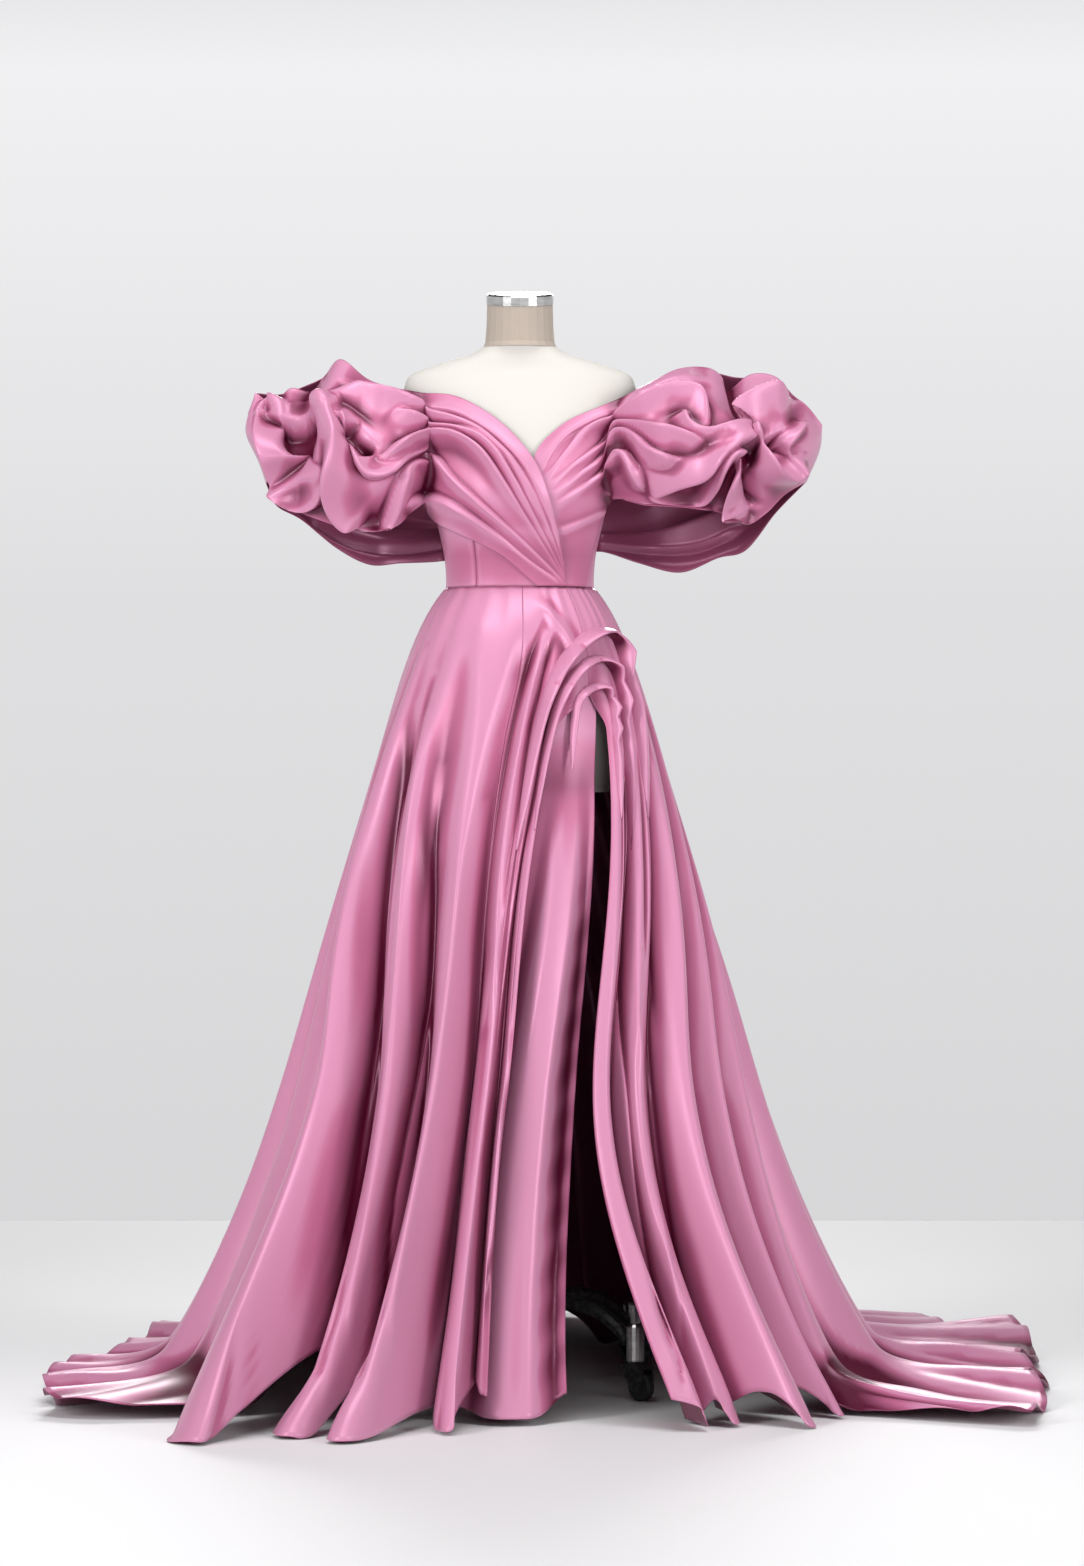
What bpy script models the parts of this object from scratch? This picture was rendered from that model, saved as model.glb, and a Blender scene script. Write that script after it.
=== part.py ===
"""A satin A-line gown with a wrapped bodice and sculpted off-shoulder sleeves,
on a limbless dress form that stands on a castered base.

Metres, +Z up. The wearer's left is +X and the gown faces -Y. Every size is worked out
in a gown frame, whose origin is on the floor under the pole, and the whole is
then moved so that its footprint is centred on the origin.
"""

import math

import bpy
import numpy as np
from mathutils import Vector
from mathutils.bvhtree import BVHTree

# Footprint centre in the gown frame
FOOTPRINT_CENTRE = (0.063, 0.236)

# Cloth and seams
CLOTH = 0.0018
SEAM = 0.0003

# Heights of the gown and of the form
WAIST_Z = 1.305
BODICE_TOP_Z = 1.450
TORSO_FOOT_Z = 0.972
NECK_Z = 1.697
CAP_Z = 1.768

# Layers outside the form, each to the cloth's outer face; the wraps thin to the waist seam
BODICE_LAYER = 0.0023
UNDER_WRAP_LAYERS = (0.0045, 0.0066)
OVER_WRAP_LAYERS = (0.0068, 0.0130)

# Skirt cone below the waist: spread at the hip, flare per metre, kick at the hem
WAIST_HALF_WIDTH = 0.1215
WAIST_FRONT = 0.0915
WAIST_BACK = 0.0880
HIP_SPRING = 0.035
HIP_SPRING_DEPTH = 0.060
FLARE = 0.270
HEM_KICK = 0.032
SLANT = 0.945
VALLEY_INSET = 0.055
FLOOR_GAP = 0.0022

# The form's sections: height, half width, depth to the front and to the back
TORSO = (
    (0.972, 0.146, 0.098, 0.124),
    (1.040, 0.158, 0.104, 0.134),
    (1.110, 0.160, 0.104, 0.136),
    (1.200, 0.142, 0.094, 0.114),
    (1.260, 0.124, 0.090, 0.092),
    (1.305, 0.118, 0.088, 0.084),
    (1.350, 0.120, 0.094, 0.086),
    (1.400, 0.130, 0.112, 0.092),
    (1.450, 0.143, 0.126, 0.098),
    (1.500, 0.156, 0.122, 0.102),
    (1.550, 0.168, 0.106, 0.104),
    (1.600, 0.180, 0.084, 0.098),
    (1.636, 0.188, 0.062, 0.082),
    (1.654, 0.176, 0.050, 0.068),
    (1.672, 0.128, 0.047, 0.062),
    (1.686, 0.082, 0.048, 0.058),
    (1.697, 0.062, 0.052, 0.056),
)

# One row for each flute of the skirt, round from the slit's right edge to its left edge.
# Angles in degrees from the front towards +X, at the yoke, hip, knee and hem;
# crest height in mm at the knee and at the foot; train length past the foot in mm,
# height of the fold on the floor and lift of the hem beside the crest in mm;
# where the valley after the crest lies, as a share of the way to the next crest; how much
# the crest broadens down the skirt; how far the hem runs on the floor, in mm.
FLUTES = (
    # yoke, hip, knee, hem, knee crest, foot crest, train, fold, lift, valley, breadth, run
    (46, 42, 19.0, 24, 62, 145, 0, 0, 50, 0.60, 0.55, 0),
    (58, 54, 27, 29.5, 50, 112, 0, 0, 80, 0.60, 0.50, 0),
    (70, 68, 41.0, 37.0, 56, 182, 0, 0, 90, 0.62, 0.55, 0),
    (84, 83, 53.5, 49.0, 46, 110, 0, 0, 60, 0.55, 0.40, 0),
    (98, 97, 66, 55.5, 42, 85, 400, 34, 0, 0.50, 0.40, 0),
    (112, 111, 82, 78, 42, 80, 300, 42, 0, 0.50, 0.35, 0),
    (126, 125, 99, 100, 44, 80, 310, 44, 0, 0.50, 0.30, 0),
    (140, 139, 119, 125, 54, 90, 500, 68, 0, 0.50, 0.40, 0),
    (155, 153, 139, 142, 52, 80, 590, 50, 0, 0.50, 0.30, 0),
    (169, 168, 158, 159, 52, 80, 660, 56, 0, 0.50, 0.45, 0),
    (182, 182, 176, 175, 56, 80, 690, 60, 0, 0.50, 0.50, 0),
    (196, 197, 194, 192, 52, 80, 670, 56, 0, 0.50, 0.30, 0),
    (210, 212, 212, 209, 50, 76, 540, 54, 0, 0.50, 0.45, 0),
    (224, 227, 230, 228, 46, 72, 300, 56, 0, 0.50, 0.30, 0),
    (238, 241, 247, 246, 42, 68, 190, 38, 0, 0.50, 0.40, 0),
    (252, 254, 263, 263, 40, 68, 215, 32, 0, 0.50, 0.30, 0),
    (266, 266, 278, 282, 40, 72, 225, 34, 0, 0.50, 0.40, 0),
    (280, 279, 293, 299, 38, 80, 280, 34, 0, 0.50, 0.50, 0),
    (297, 294, 316, 327.5, 98, 375, 0, 0, 150, 0.36, 0.60, 0),
    (321, 318, 331.5, 335, 76, 215, 0, 0, 100, 0.42, 0.60, 0),
    (350, 344, 342.0, 341.8, 78, 245, 0, 0, 70, 0.50, 0.55, 0),
    (374, 364, 352.5, 351.0, 40, 120, 0, 0, 30, 0.50, 0.50, 0),
    (389, 373, 356.5, 354.0, 55, 48, -70, 0, 0, 0.50, 0.40, 0),
)
SLIT_TOP = 0.170
SLIT_EDGES = (-0.50, len(FLUTES) - 0.50)
SLIT_SPREAD = (0.38, 0.46)
SIDE_LEFT = 4.5
CENTRE_BACK = 10.5
SIDE_RIGHT = 16.5
FRONT_SEAM = 20.5
FLUTE_STEPS = (0.0, 0.26, 0.5, 0.74)

# Path lengths down the skirt of the four stations of the table, and of the mesh rows
STATIONS = (0.08, 0.26, 0.86, 1.38)
ROWS_DOWN = (0.0, 0.04, 0.11, 0.20, 0.35, 0.55, 0.76, 0.96, 1.13, 1.26)
CONE_LENGTH = (WAIST_Z - 0.004) / SLANT
TRAIN_ROWS = 3

# Outlines of the sleeves with their wraps seen from the front, X and Z in mm.
# "right" is the wearer's right, at -X.
OUTLINES = {
    "right": {
        "top": ((78, 1305.6), (65, 1375), (47, 1449), (21, 1511), (-33, 1571), (-101, 1612),
                (-163, 1620), (-237, 1635), (-290, 1677), (-317, 1652), (-340, 1628),
                (-375, 1633), (-405, 1611), (-432, 1624)),
        "outer": ((-432, 1624), (-449, 1563), (-428, 1511), (-416, 1478)),
        "bottom": ((28, 1305.6), (-33, 1357), (-131, 1406), (-163, 1439), (-199, 1405),
                   (-253, 1393), (-318, 1410), (-375, 1436), (-416, 1478)),
        "back_top": ((-4, 1500), (-80, 1530), (-150, 1590), (-205, 1632), (-250, 1640),
                     (-290, 1660), (-340, 1640), (-390, 1622), (-432, 1624)),
        "back_bottom": ((-4, 1372), (-70, 1362), (-128, 1350), (-196, 1348), (-248, 1346),
                        (-302, 1373), (-359, 1419), (-400, 1442), (-416, 1478)),
    },
    "left": {
        "top": ((70, 1305.6), (54, 1400), (22, 1503), (65, 1563), (131, 1597), (212, 1631),
                (254, 1656), (302, 1664), (328, 1650), (338, 1626), (375, 1653), (416, 1650),
                (445, 1620), (470, 1600), (493, 1571)),
        "outer": ((493, 1571), (489, 1530), (467, 1478)),
        "bottom": ((108, 1305.6), (122, 1375), (150, 1444), (212, 1437), (277, 1432),
                   (330, 1422), (367, 1405), (400, 1424), (432, 1457), (467, 1478)),
        "back_top": ((4, 1500), (80, 1530), (150, 1590), (205, 1632), (254, 1652),
                     (302, 1660), (350, 1650), (416, 1640), (493, 1571)),
        "back_bottom": ((4, 1372), (70, 1362), (134, 1366), (196, 1348), (264, 1333),
                        (326, 1357), (372, 1370), (420, 1430), (467, 1478)),
    },
}

# Folds of the wraps and sleeves, as lines seen from the front, X and Z in mm.
# Height of the ridge and half width in mm at the start and at the end of each line, and
# the share of the half width on the side that falls steeply (above 0 for the side to the
# left of the line). Below 0 heights are hollows.
FOLDS = {
    "right": (
        # start height, end height, start width, end width, steep side, line
        (2, 14, 7, 15, 0.7, ((74, 1322), (40, 1440), (0, 1508), (-60, 1562), (-115, 1585), (-180, 1604),
                             (-250, 1626), (-305, 1650))),
        (2, 22, 7, 20, -0.6, ((71, 1322), (25, 1440), (-15, 1500), (-55, 1542), (-115, 1562),
                              (-185, 1583), (-250, 1606), (-322, 1616))),
        (2, 30, 7, 15, -0.6, ((68, 1322), (0, 1440), (-40, 1500), (-85, 1538), (-140, 1545),
                              (-190, 1512), (-230, 1494), (-258, 1508), (-272, 1560), (-305, 1590))),
        (2, 26, 7, 18, 0.6, ((64, 1322), (-10, 1430), (-65, 1478), (-115, 1503), (-160, 1508),
                             (-200, 1478), (-224, 1432))),
        (2, 10, 7, 20, -0.6, ((60, 1322), (-30, 1402), (-90, 1441), (-150, 1476))),
        (16, 40, 18, 22, 0.7, ((-298, 1600), (-330, 1612), (-352, 1585), (-338, 1520), (-330, 1460),
                               (-345, 1425))),
        (24, 24, 20, 18, 0.7, ((-400, 1618), (-428, 1580), (-432, 1530), (-410, 1482), (-370, 1450),
                               (-330, 1438))),
        (14, 22, 16, 20, -0.7, ((-262, 1540), (-290, 1500), (-285, 1460), (-262, 1430), (-225, 1414))),
        (-40, -30, 14, 12, 1.0, ((-282, 1580), (-262, 1555), (-240, 1526))),
        (-40, -40, 26, 30, 1.0, ((-375, 1600), (-372, 1540), (-362, 1480))),
    ),
    "left": (
        (2, 14, 7, 15, 0.7, ((66, 1330), (42, 1440), (44, 1510), (80, 1560), (135, 1583), (200, 1612),
                             (255, 1640), (308, 1652))),
        (2, 24, 7, 16, -0.6, ((68, 1330), (50, 1440), (65, 1500), (95, 1560), (150, 1585), (215, 1600),
                              (262, 1617), (300, 1605), (312, 1580))),
        (2, 28, 7, 16, -0.6, ((70, 1330), (60, 1450), (80, 1490), (125, 1530), (160, 1562), (200, 1555),
                              (250, 1540), (320, 1534), (370, 1570), (438, 1610))),
        (2, 20, 7, 16, -0.6, ((72, 1330), (66, 1440), (98, 1478), (140, 1515), (175, 1556), (205, 1530),
                              (240, 1512), (280, 1508))),
        (4, 30, 14, 18, -0.7, ((215, 1462), (260, 1475), (310, 1500), (350, 1540), (385, 1578))),
        (10, 30, 14, 14, 0.7, ((210, 1462), (260, 1448), (305, 1452), (328, 1500), (348, 1526),
                               (366, 1505), (355, 1440), (370, 1412))),
        (16, 36, 18, 16, 0.7, ((388, 1600), (390, 1540), (408, 1508), (440, 1500), (468, 1530))),
        (14, 20, 16, 16, -0.7, ((480, 1572), (452, 1545), (432, 1490), (404, 1452))),
        (-34, -26, 10, 10, 1.0, ((372, 1570), (376, 1500), (378, 1440))),
        (-34, -34, 22, 20, 1.0, ((415, 1572), (424, 1532))),
    ),
}
BACK_FOLDS = {
    "right": (
        (3, 14, 10, 14, 0.5, ((-6, 1480), (-80, 1505), (-160, 1560), (-230, 1600), (-300, 1625))),
        (3, 26, 8, 20, -0.5, ((-6, 1455), (-90, 1475), (-170, 1515), (-240, 1560), (-330, 1590))),
        (3, 30, 8, 20, 0.5, ((-6, 1430), (-90, 1440), (-180, 1465), (-270, 1510), (-360, 1540))),
        (3, 26, 8, 18, -0.5, ((-6, 1405), (-90, 1402), (-190, 1412), (-280, 1440), (-370, 1480))),
        (3, 14, 8, 14, 0.5, ((-6, 1385), (-100, 1375), (-200, 1370), (-290, 1390), (-360, 1435))),
    ),
    "left": (
        (3, 14, 10, 14, 0.5, ((6, 1480), (80, 1505), (160, 1560), (240, 1605), (320, 1630))),
        (3, 26, 8, 20, -0.5, ((6, 1455), (90, 1475), (170, 1515), (250, 1565), (360, 1600))),
        (3, 30, 8, 20, 0.5, ((6, 1430), (90, 1440), (190, 1465), (290, 1515), (400, 1545))),
        (3, 26, 8, 18, -0.5, ((6, 1405), (90, 1402), (200, 1412), (300, 1445), (410, 1490))),
        (3, 14, 8, 14, 0.5, ((6, 1385), (100, 1375), (200, 1366), (300, 1372), (380, 1410))),
    ),
}
SLEEVE_DEPTH_FRONT = 0.150
SLEEVE_DEPTH_BACK = 0.140
SLEEVE_COLUMNS = 23
SLEEVE_ROWS = 13

# The rolls of cloth gathered round the top of the slit, from the inside out: half width
# and height of the roll, how far its legs' feet are seated off the skirt, and its line over the
# hip and down both sides of the slit, X and Z, all in mm
ROLLS = (
    (7.0, 17, 2.1, ((84, 1008), (86, 1072), (91, 1113), (103, 1133), (120, 1143), (134, 1143),
                    (144, 1131), (150, 1108), (155, 1056), (160, 980), (163, 930))),
    (7.5, 22, 2.8, ((24, 912), (37, 1008), (53, 1088), (69, 1131), (88, 1165), (109, 1184),
                    (128, 1190), (145, 1179), (157, 1153), (166, 1104), (174, 1000), (179, 880))),
    (9.5, 27, 3.3, ((-4, 880), (12, 976), (28, 1064), (43, 1120), (62, 1168), (86, 1204),
                    (113, 1229), (138, 1236), (153, 1223), (164, 1192), (174, 1155), (184, 1110),
                    (195, 1040), (207, 930))),
)
ROLL_STATIONS = 26

# Stand
POLE_RADIUS = 0.0125
HUB_Z = 0.085
HUB_TOP_Z = 0.165
LEG_REACH = 0.262
LEG_HALF_WIDTH = 0.013
LEG_HALF_HEIGHT = 0.011
SOCKET_RADIUS = 0.0145
SOCKET_Z = (0.060, 0.122)
WHEEL_RADIUS = 0.024
WHEEL_HALF_WIDTH = 0.0085
CASTER_TRAIL = 0.013
LEG_ANGLES = {"front_left": -45, "back_left": 45, "back_right": 135, "front_right": 225}

PINK = (0.72, 0.30, 0.50, 1.0)
LINEN = (0.86, 0.83, 0.77, 1.0)
NECK_LINEN = (0.72, 0.64, 0.54, 1.0)
STEEL = (0.62, 0.62, 0.63, 1.0)
IRON = (0.20, 0.20, 0.20, 1.0)
RUBBER = (0.03, 0.03, 0.03, 1.0)


def clear_scene():
    for item in list(bpy.data.objects):
        bpy.data.objects.remove(item)


def material(name, colour, roughness, metallic=0.0):
    made = bpy.data.materials.new(name)
    made.use_nodes = True
    shader = made.node_tree.nodes["Principled BSDF"]
    shader.inputs["Base Color"].default_value = colour
    shader.inputs["Roughness"].default_value = roughness
    shader.inputs["Metallic"].default_value = metallic
    return made


def add_object(name, vertices, faces, look, parent):
    mesh = bpy.data.meshes.new(name)
    mesh.from_pydata([tuple(v) for v in vertices], [], faces)
    mesh.validate()
    mesh.materials.append(look)
    mesh.shade_smooth()
    made = bpy.data.objects.new(name, mesh)
    bpy.context.scene.collection.objects.link(made)
    made.parent = parent
    return made


def smoothstep(low, high, value):
    t = np.clip((value - low) / (high - low), 0.0, 1.0)
    return t * t * (3.0 - 2.0 * t)


def soft_max(a, b, width):
    """The larger of a and b, rounded where they are within width of each other."""
    h = np.clip(0.5 + 0.5 * (a - b) / width, 0.0, 1.0)
    return b + (a - b) * h + width * h * (1.0 - h)


def through(points, count):
    """A smooth curve through points, at count places spaced evenly along it."""
    p = np.array(points, float)
    padded = np.vstack([2 * p[0] - p[1], p, 2 * p[-1] - p[-2]])
    fine = []
    for i in range(len(p) - 1):
        a, b, c, d = padded[i:i + 4]
        for t in np.linspace(0, 1, 12, endpoint=False):
            fine.append(0.5 * (2 * b + (c - a) * t + (2 * a - 5 * b + 4 * c - d) * t ** 2
                               + (3 * b - a - 3 * c + d) * t ** 3))
    fine = np.array(fine + [p[-1]])
    along = np.concatenate([[0], np.cumsum(np.linalg.norm(np.diff(fine, axis=0), axis=1))])
    wanted = np.asarray(count, float) * along[-1] if np.ndim(count) else np.linspace(0, along[-1], count)
    return np.stack([np.interp(wanted, along, fine[:, k]) for k in range(p.shape[1])], axis=1)


def stationed(values, s):
    """Table values at STATIONS, joined by a smooth curve along the path s."""
    s = np.clip(s, STATIONS[0], STATIONS[-1])
    i = np.clip(np.searchsorted(STATIONS, s, side="right") - 1, 0, len(STATIONS) - 2)
    stations, v = np.array(STATIONS), np.array(values, float)
    slopes = np.gradient(v, stations)
    slopes[0] = slopes[-1] = 0.0
    h = stations[i + 1] - stations[i]
    t = (s - stations[i]) / h
    return (v[i] * (1 + 2 * t) * (1 - t) ** 2 + v[i + 1] * t ** 2 * (3 - 2 * t)
            + h * slopes[i] * t * (1 - t) ** 2 + h * slopes[i + 1] * t ** 2 * (t - 1))


def flute_value(column, u):
    """A column of the flute table at the fractional flute number u, level at each crest."""
    i = int(math.floor(u))
    t = u - i
    t = t * t * (3 - 2 * t)
    row = [FLUTES[k % len(FLUTES)][column] for k in (i, i + 1)]
    return row[0] + (row[1] - row[0]) * t


def flute_angle(u, s):
    """The angle in degrees, from the front, of the fractional flute number u."""
    i = int(math.floor(u))
    ends = []
    for k in (i, i + 1):
        turns, row = divmod(k, len(FLUTES))
        ends.append(stationed(FLUTES[row][:4], s) + 360.0 * turns)
    valley = 0.5 + (FLUTES[i % len(FLUTES)][9] - 0.5) * smoothstep(0.2, 0.9, s)
    t = u - i
    share = t / 0.5 * valley if t < 0.5 else valley + (t - 0.5) / 0.5 * (1 - valley)
    return ends[0] + (ends[1] - ends[0]) * share


def skirt_spread(drop):
    """How far the skirt's valleys have spread past the waist at a height drop below it."""
    cone = HIP_SPRING * (1 - np.exp(-drop / HIP_SPRING_DEPTH)) + FLARE * drop + HEM_KICK * drop ** 4
    return cone - VALLEY_INSET * smoothstep(0.15, 1.25, drop)


def skirt_point(u, s, inset=0.0):
    """A point of the skirt at flute number u and path length s down from the waist.
    Past the cone's foot the path runs out over the floor. inset moves it inwards."""
    power = 1.15 - flute_value(10, u) * smoothstep(0.3, 1.2, s)
    crest = (0.5 + 0.5 * math.cos(2 * math.pi * u)) ** power
    knee, foot, train, fold = (flute_value(k, u) / 1000 for k in (4, 5, 6, 7))
    laid = smoothstep(0.02, 0.20, train)
    bend = 0.004 + 0.032 * laid
    height = WAIST_Z - FLOOR_GAP - s * SLANT
    z = bend * np.logaddexp(0.0, height / bend)
    past = bend * np.logaddexp(0.0, -height / bend) / SLANT
    flat = laid / (1.0 + math.exp(np.clip(height / bend, -50, 50)))
    grown = knee * smoothstep(0.02, 0.95, s) ** 1.3 + (foot - knee) * smoothstep(0.70, 1.40, s) ** 1.4
    wave = (grown * (1 - flat) + fold * flat) * crest
    out = skirt_spread(WAIST_Z - FLOOR_GAP - z) + past - inset + wave * (1 - flat)
    angle = math.radians(flute_angle(u, s))
    depth = WAIST_FRONT if math.cos(angle) > 0 else WAIST_BACK
    x = (WAIST_HALF_WIDTH + out) * math.sin(angle)
    y = -(depth + out * 1.06) * math.cos(angle)
    return np.array([x, y, z + wave * flat + FLOOR_GAP])


def skirt_length(u):
    """Path length from the waist to the hem at flute number u."""
    lift = flute_value(8, u) / 1000 * (0.5 - 0.5 * math.cos(2 * math.pi * u)) ** 1.5
    return CONE_LENGTH - lift + (flute_value(6, u) + flute_value(11, u)) / 1000


def torso_section(z):
    table = np.array(TORSO)
    return [np.interp(z, table[:, 0], table[:, k]) for k in (1, 2, 3)]


def torso_point(angle, z, layer=0.0):
    """A point outside the form, at an angle in degrees from the front."""
    width, front, back = torso_section(z)
    a = math.radians(angle)
    depth = front if math.cos(a) > 0 else back
    return np.array([(width + layer) * math.sin(a), -(depth + layer) * math.cos(a), z])


def torso_depth(x, z, side, layers):
    """Depth of the form with a layer, in front (side 2) or behind (side 3), over points X, Z.
    layers holds the layer at the waist and above the midriff."""
    table = np.array(TORSO)
    width = np.interp(z, table[:, 0], table[:, 1])
    layer = layers[0] + (layers[1] - layers[0]) * smoothstep(WAIST_Z, WAIST_Z + 0.09, z)
    layer = layer + 0.004 * smoothstep(0.5, 0.95, np.abs(x) / width)
    depth = np.interp(z, table[:, 0], table[:, side]) + layer
    inside = np.clip(1 - (x / (width + layer)) ** 2, 0.0, 1.0)
    return depth * np.sqrt(inside)


def fold_height(folds, x, z):
    """Height of the highest fold with the deepest hollow at each point X, Z, in metres."""
    raised, sunk = np.zeros_like(x), np.zeros_like(x)
    for start_h, end_h, start_w, end_w, steep, line in folds:
        path = through(line, 28) / 1000
        best = np.full(x.shape, np.inf)
        side = np.zeros_like(x)
        along = np.zeros_like(x)
        for k in range(len(path) - 1):
            a, b = path[k], path[k + 1]
            d = b - a
            t = np.clip(((x - a[0]) * d[0] + (z - a[1]) * d[1]) / (d @ d), 0, 1)
            ex, ez = x - a[0] - t * d[0], z - a[1] - t * d[1]
            distance = np.hypot(ex, ez)
            nearer = distance < best
            best = np.where(nearer, distance, best)
            side = np.where(nearer, np.sign(d[0] * ez - d[1] * ex), side)
            along = np.where(nearer, (k + t) / (len(path) - 1), along)
        width = (start_w + (end_w - start_w) * along) / 1000
        width = np.where(side * steep > 0, width * abs(steep), width)
        height = (start_h + (end_h - start_h) * smoothstep(0.15, 0.75, along)) / 1000
        height = height * smoothstep(-0.02, 0.05, along) * (1 - 0.8 * smoothstep(0.9, 1.0, along))
        bump = height * np.exp(-((best / width) ** 2))
        raised = np.maximum(raised, bump)
        sunk = np.minimum(sunk, bump)
    return raised + sunk


def patch(top, bottom, inner, outer, s, t):
    """A Coons patch in X and Z between four curves, at the s and t given."""
    up, down = through(top, s), through(bottom, s)
    left, right = through(inner, t), through(outer, t)
    s, t = s[:, None, None], t[None, :, None]
    edges = (1 - t) * up[:, None] + t * down[:, None] + (1 - s) * left[None] + s * right[None]
    corners = ((1 - s) * (1 - t) * up[0] + s * (1 - t) * up[-1]
               + (1 - s) * t * down[0] + s * t * down[-1])
    return (edges - corners) / 1000


def sleeve_face(name, back, columns, rows, layers):
    """One face of a sleeve with its wrap: points from the bodice out to the sleeve's end."""
    outline = OUTLINES[name]
    s = np.linspace(0, 1, columns)
    s = 0.65 * s + 0.35 * np.sin(s * math.pi / 2)
    t = np.linspace(0, 1, rows)
    top = outline["back_top" if back else "top"]
    bottom = outline["back_bottom" if back else "bottom"]
    plane = patch(top, bottom, (top[0], bottom[0]), outline["outer"], s, t)
    x, z = plane[..., 0], plane[..., 1]
    s, t = np.broadcast_to(s[:, None], x.shape), np.broadcast_to(t[None], x.shape)
    reach = np.abs(x)
    dome = SLEEVE_DEPTH_BACK if back else SLEEVE_DEPTH_FRONT
    closing = np.clip(s - 0.66, 0, 1) / 0.34
    swell = smoothstep(0.04, 0.24, reach) * np.sqrt(1 - closing ** 2)
    arm = 1 - smoothstep(0.21, 0.32, reach)
    top_open = 0.05 + 0.42 * arm
    across = top_open + (1 - top_open) * np.sin(np.clip(t / 0.62, 0, 1) * math.pi / 2)
    across = across * (1 - 0.45 * smoothstep(0.62, 1.0, t))
    puff = dome * swell * across
    body = torso_depth(x, z, 3 if back else 2, layers)
    depth = soft_max(body, puff, 0.02)
    sign = 1.0 if back else -1.0
    base = np.stack([x, sign * depth, z], axis=-1)
    ridge = fold_height((BACK_FOLDS if back else FOLDS)[name], x, z)
    ridge = ridge * (1 - 0.7 * smoothstep(0.93, 1.0, s))
    return base, ridge


def unit(vectors):
    length = np.linalg.norm(vectors, axis=-1, keepdims=True)
    return vectors / np.maximum(length, 1e-9)


def grid_normals(grid):
    """Unit normals of a grid of points, first axis by second axis, from its squares."""
    squares = unit(np.cross(grid[1:, 1:] - grid[:-1, :-1], grid[:-1, 1:] - grid[1:, :-1]))
    total = np.zeros(grid.shape)
    total[1:, 1:] += squares
    total[:-1, 1:] += squares
    total[1:, :-1] += squares
    total[:-1, :-1] += squares
    return unit(total)


def wall_faces(outer):
    """Triangles of a closed wall: outer points first, then inner points, column by column.
    Both sides are split along the same diagonal, the shorter one of the outer side."""
    columns, rows = outer.shape[:2]
    flat = outer.reshape(-1, 3)
    inner = columns * rows
    faces = []
    for i in range(columns - 1):
        for j in range(rows - 1):
            a, b = i * rows + j, (i + 1) * rows + j
            across, down = flat[a] - flat[b + 1], flat[b] - flat[a + 1]
            split = ((a, b, b + 1), (a, b + 1, a + 1))
            if down @ down < across @ across:
                split = ((a, b, a + 1), (b, b + 1, a + 1))
            for p, q, r in split:
                faces.append((p, q, r))
                faces.append((inner + p, inner + r, inner + q))
    for i in range(columns - 1):
        a, b = i * rows, (i + 1) * rows
        faces.append((a, inner + a, inner + b, b))
        a, b = a + rows - 1, b + rows - 1
        faces.append((a, b, inner + b, inner + a))
    for j in range(rows - 1):
        faces.append((j, j + 1, inner + j + 1, inner + j))
        a = (columns - 1) * rows + j
        faces.append((a, inner + a, inner + a + 1, a + 1))
    return faces


def add_wall(name, outer, inner, look, parent, flip=False):
    vertices = np.vstack([outer.reshape(-1, 3), inner.reshape(-1, 3)])
    faces = wall_faces(outer)
    if flip:
        faces = [tuple(reversed(f)) for f in faces]
    return add_object(name, vertices, faces, look, parent)


def cloth_inside(outer, turn=-1.0):
    """The inner face of cloth whose outer face is given. turn is -1 for a grid that runs
    round to the left and down, seen from outside, and 1 for one that runs to the right."""
    return outer - grid_normals(outer) * turn * CLOTH


def panel_edge(u, s, inward):
    """The flute number of a panel's edge at path length s: half a seam in from u, and
    spread open below the top of the slit if the edge is one of the slit's."""
    radius = math.hypot(*skirt_point(u, s)[:2])
    flute = math.radians(abs(flute_angle(u + 0.5, s) - flute_angle(u - 0.5, s))) * radius
    edge = u + inward * 0.6 * SEAM / flute
    if u in SLIT_EDGES:
        spread = SLIT_SPREAD[SLIT_EDGES.index(u)]
        edge += inward * spread * smoothstep(SLIT_TOP, SLIT_TOP + 0.075, s)
    return edge


def flute_columns(low, high):
    """Mesh columns between two flute numbers: both ends, and the steps of each flute."""
    inside = [i + q for i in range(math.floor(low), math.ceil(high) + 1) for q in FLUTE_STEPS]
    start = low + (0.45 if low in SLIT_EDGES else 0.08)
    end = high - (0.52 if high in SLIT_EDGES else 0.08)
    return [low] + [u for u in inside if start < u < end] + [high]


def skirt_panel(name, low, high, look, parent):
    columns = flute_columns(low, high)
    outer = []
    for k, u in enumerate(columns):
        length = skirt_length(u)
        cone = min(length, CONE_LENGTH)
        rest = max(0.0, length - cone)
        rows = [row * cone / CONE_LENGTH for row in ROWS_DOWN]
        first = cone * 0.965 + 0.06 * rest
        rows += [first + (length - first) * step / TRAIN_ROWS for step in range(TRAIN_ROWS + 1)]
        line = []
        for s in rows:
            place = u
            if k == 0:
                place = panel_edge(u, s, 1)
            elif k == len(columns) - 1:
                place = panel_edge(u, s, -1)
            line.append(skirt_point(place, s))
        outer.append(line)
    outer = np.array(outer)
    outer[:, 0, 2] = WAIST_Z - SEAM / 2
    inner = cloth_inside(outer)
    inner[:, 0, 2] = WAIST_Z - SEAM / 2
    inner[..., 2] = np.maximum(inner[..., 2], 0.0002)
    return add_wall(name, outer, inner, look, parent, flip=True)


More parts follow.
